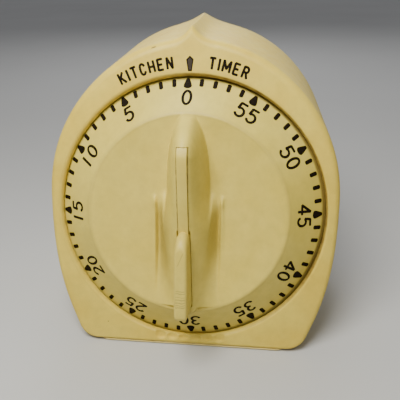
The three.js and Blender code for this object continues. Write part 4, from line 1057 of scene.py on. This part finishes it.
LETTERS = {
    "K": [LEFT_STEM, line((0.92, 1), (0.02, 0.42)), line((0.3, 0.58), (0.95, 0))],
    "I": [line((0.5, 0), (0.5, 1))],
    "T": [line((0, 1), (1, 1)), line((0.5, 0), (0.5, 1))],
    "C": [
        arc(0.5, 0.66, 0.46, 0.34, 20, 180, 12)
        + line((0.04, 0.6), (0.04, 0.4))
        + arc(0.5, 0.34, 0.46, 0.34, 180, 340, 12)
    ],
    "H": [LEFT_STEM, RIGHT_STEM, line((0, 0.5), (1, 0.5))],
    "E": [LEFT_STEM, line((0, 1), (0.9, 1)), line((0, 0.5), (0.75, 0.5)), line((0, 0), (0.9, 0))],
    "N": [LEFT_STEM, line((0, 1), (1, 0)), RIGHT_STEM],
    "M": [LEFT_STEM, line((0, 1), (0.5, 0.25)), line((0.5, 0.25), (1, 1)), RIGHT_STEM],
    "R": [
        LEFT_STEM,
        line((0, 1), (0.5, 1)) + arc(0.5, 0.75, 0.42, 0.25, 90, -90, 12) + line((0.5, 0.5), (0, 0.5)),
        line((0.5, 0.5), (0.95, 0)),
    ],
}


def ring_place(degrees, radius, slant=1.0):
    """Carries (across, outward) millimetres to the face, at an angle counter-clockwise from the top."""
    a = math.radians(90 + degrees)
    out = np.array([math.cos(a), math.sin(a)])
    right = np.array([math.sin(a), -math.cos(a)])

    def to_face(points):
        points = np.asarray(points, float)
        return points[:, 0:1] * right + (radius + points[:, 1:2] * slant) * out

    return to_face


def sized(path, width, height, shift=0.0, shear=0.0):
    path = np.asarray(path, float)
    y = (path[:, 1] - 0.5) * height
    return np.column_stack([(path[:, 0] - 0.5) * width + shift + shear * y, y])


SHORTENED = 1 / math.sqrt(1 + DIAL_SLOPE**2)  # plan length of a millimetre along the cone
NUMERAL_HEIGHT = 4.5  # between the strokes' middle lines
NUMERAL_HALF = 0.41
NUMERAL_SHEAR = 0.05
NUMERAL_WIDTH = 2.75
NUMERAL_PITCH = 3.75
NUMERAL_RADIUS = TICK_RADIUS - 5.2 * SHORTENED
PRINT_TURN = 1.0  # the dial's printing sits this many degrees counter-clockwise of its moulding


def print_dial():
    marks = Print(dial_surface)
    for minute in range(60):
        place = ring_place(minute * 6 + PRINT_TURN, TICK_RADIUS)
        if minute % 5:
            marks.stroke([(0, -0.82), (0, 0), (0, 0.82)], 0.63, place)
        else:
            marks.stroke([(0, -1.05), (0, -0.4), (0, 0.35), (0, 1.0)], [1.25, 1.1, 0.8, 0.52], place)
    marks.finish("minute_marks", "dial", INK)
    for minute in range(0, 60, 5):
        numeral = Print(dial_surface)
        place = ring_place(minute * 6 + PRINT_TURN, NUMERAL_RADIUS, SHORTENED)
        text = str(minute)
        for i, digit in enumerate(text):
            shift = (i - (len(text) - 1) / 2) * NUMERAL_PITCH
            width = NUMERAL_WIDTH * (0.92 if digit == "0" else 1.0)
            for path in DIGITS[digit]:
                glyph = sized(path, width, NUMERAL_HEIGHT, shift, NUMERAL_SHEAR)
                numeral.stroke(glyph, NUMERAL_HALF, place, digit in CLOSED_DIGITS)
        numeral.finish(f"numeral_{minute:02d}", "dial", INK)


print_dial()

LETTER_HEIGHT = 3.75
LETTER_RADIUS = 44.75
LETTER_HALF = 0.36
LETTER_SPACE = 0.52
POINTER_RADIUS = 44.2


def print_word(name, word, start, direction):
    """Letters upright round the arch, from the start angle outwards."""
    words = Print(case_surface)
    widths = [0.0 if c == "I" else 2.0 if c == "M" else 1.5 for c in word]
    travelled = 0.0
    for i in range(len(word))[::direction]:
        travelled += widths[i] / 2 + LETTER_HALF
        degrees = -(start + direction * math.degrees(travelled / LETTER_RADIUS))
        for path in LETTERS[word[i]]:
            glyph = sized(path, max(widths[i], 0.01), LETTER_HEIGHT - 2 * LETTER_HALF)
            words.stroke(glyph, LETTER_HALF, ring_place(degrees, LETTER_RADIUS))
        travelled += widths[i] / 2 + LETTER_HALF + LETTER_SPACE
    words.finish(name, "case", CASE_INK)


print_word("case_word_left", "KITCHEN", -6.2, -1)
print_word("case_word_right", "TIMER", 7.0, 1)


def print_pointer():
    """The long five-sided mark that the dial is read against."""

    def outline(scale):
        half = [(0.55, -2.1), (1.1, 1.2), (0.12, 2.15)]
        shape = [(x * scale, z * (1 - (1 - scale) * 0.5)) for x, z in half]
        return shape + [(-x, z) for x, z in reversed(shape)]

    marks = (("pointer_mark", 1.0, LIFT, CASE_INK), ("pointer_fill", 0.6, LIFT + 0.015, POINTER_GREY))
    for name, scale, lift, material in marks:
        rings = [[(x, FACE_FRONT - h, POINTER_RADIUS + z) for x, z in outline(scale)] for h in (-SUNK, lift)]
        points, faces = loft(rings)
        mesh_object(name, placed(points), faces, "case", material, sharp=30)


print_pointer()

# ---------------------------------------------------------------- movement

SLOT_MATERIALS = {
    "plate_brass": PLATE_BRASS,
    "wheel_brass": WHEEL_BRASS,
    "steel": STEEL,
    "spring_steel": BLUED,
    "zinc_plate": ZINC,
    "bell_metal": BELL_METAL,
}
for part in frame["record"]["subparts"]:
    node = frame["nodes"][part["node"]]
    material = SLOT_MATERIALS.get(part["material_slot"])
    if material is not None and not node.hide_render:
        dress(node.data, material)

# ---------------------------------------------------------------- floor, light and camera


def build_stage():
    bpy.ops.mesh.primitive_plane_add(size=6.0, location=(0, 0, -0.0003))
    floor = bpy.context.object
    floor.name = "floor"
    s = Shading("floor_paper")
    texture = s.new("ShaderNodeTexCoord", {}).outputs["Object"]
    soft = s.noise(texture, 3.0, 3.0, 0.5)
    s.feed("Base Color", s.mix(s.ramp(soft, 0.3, 0.7), srgb(188, 187, 184), srgb(196, 195, 192)))
    s.feed("Roughness", 0.85)
    floor.data.materials.append(s.material)


def area_light(name, place, target, size, energy, colour):
    light = bpy.data.lights.new(name, "AREA")
    light.shape = "DISK"
    light.size = size
    light.energy = energy
    light.color = colour
    obj = bpy.data.objects.new(name, light)
    obj.location = place
    obj.rotation_euler = (Vector(target) - Vector(place)).to_track_quat("-Z", "Y").to_euler()
    bpy.context.scene.collection.objects.link(obj)


def build_light():
    world = bpy.data.worlds.new("studio")
    world.use_nodes = True
    # Dim in front, paler behind, so that the roof and the far floor are lit.
    tree = world.node_tree
    split = tree.nodes.new("ShaderNodeSeparateXYZ")
    tree.links.new(tree.nodes.new("ShaderNodeTexCoord").outputs["Generated"], split.inputs["Vector"])
    rise = tree.nodes.new("ShaderNodeMapRange")
    for name, value in (("From Min", -0.1), ("From Max", 0.9), ("To Min", 0.05), ("To Max", 0.75)):
        rise.inputs[name].default_value = value
    tree.links.new(split.outputs["Y"], rise.inputs["Value"])
    tree.links.new(rise.outputs["Result"], tree.nodes["Background"].inputs["Strength"])
    tree.nodes["Background"].inputs["Color"].default_value = (0.93, 0.95, 1.0, 1.0)
    bpy.context.scene.world = world
    target = (0, 0, 0.045)
    area_light("key", (-0.04, -0.13, 0.25), target, 0.14, 0.95, (1.0, 0.99, 0.93))
    area_light("fill", (0.75, -0.55, 0.45), target, 0.9, 0.65, (0.96, 0.98, 1.0))
    area_light("back", (-0.05, 0.55, 0.55), target, 0.4, 1.6, (0.97, 0.98, 1.0))


CAMERA_ROLL = 1.0  # degrees counter-clockwise


def build_camera():
    camera = bpy.data.cameras.new("camera")
    camera.lens = 44.2
    obj = bpy.data.objects.new("camera", camera)
    place = Vector((0.0198, -0.1525, 0.1104))
    forward = Vector((-0.10998, 0.89977, -0.42229)).normalized()
    upward = Vector((-0.01537, 0.42327, 0.90587))
    right = forward.cross(upward).normalized()
    upward = right.cross(forward).normalized()
    roll = math.radians(CAMERA_ROLL)
    right, upward = (
        right * math.cos(roll) + upward * math.sin(roll),
        upward * math.cos(roll) - right * math.sin(roll),
    )
    matrix = [[right[i], upward[i], -forward[i], place[i]] for i in range(3)] + [[0, 0, 0, 1]]
    obj.matrix_world = Matrix(matrix)
    bpy.context.scene.collection.objects.link(obj)
    bpy.context.scene.camera = obj


build_stage()
build_light()
build_camera()
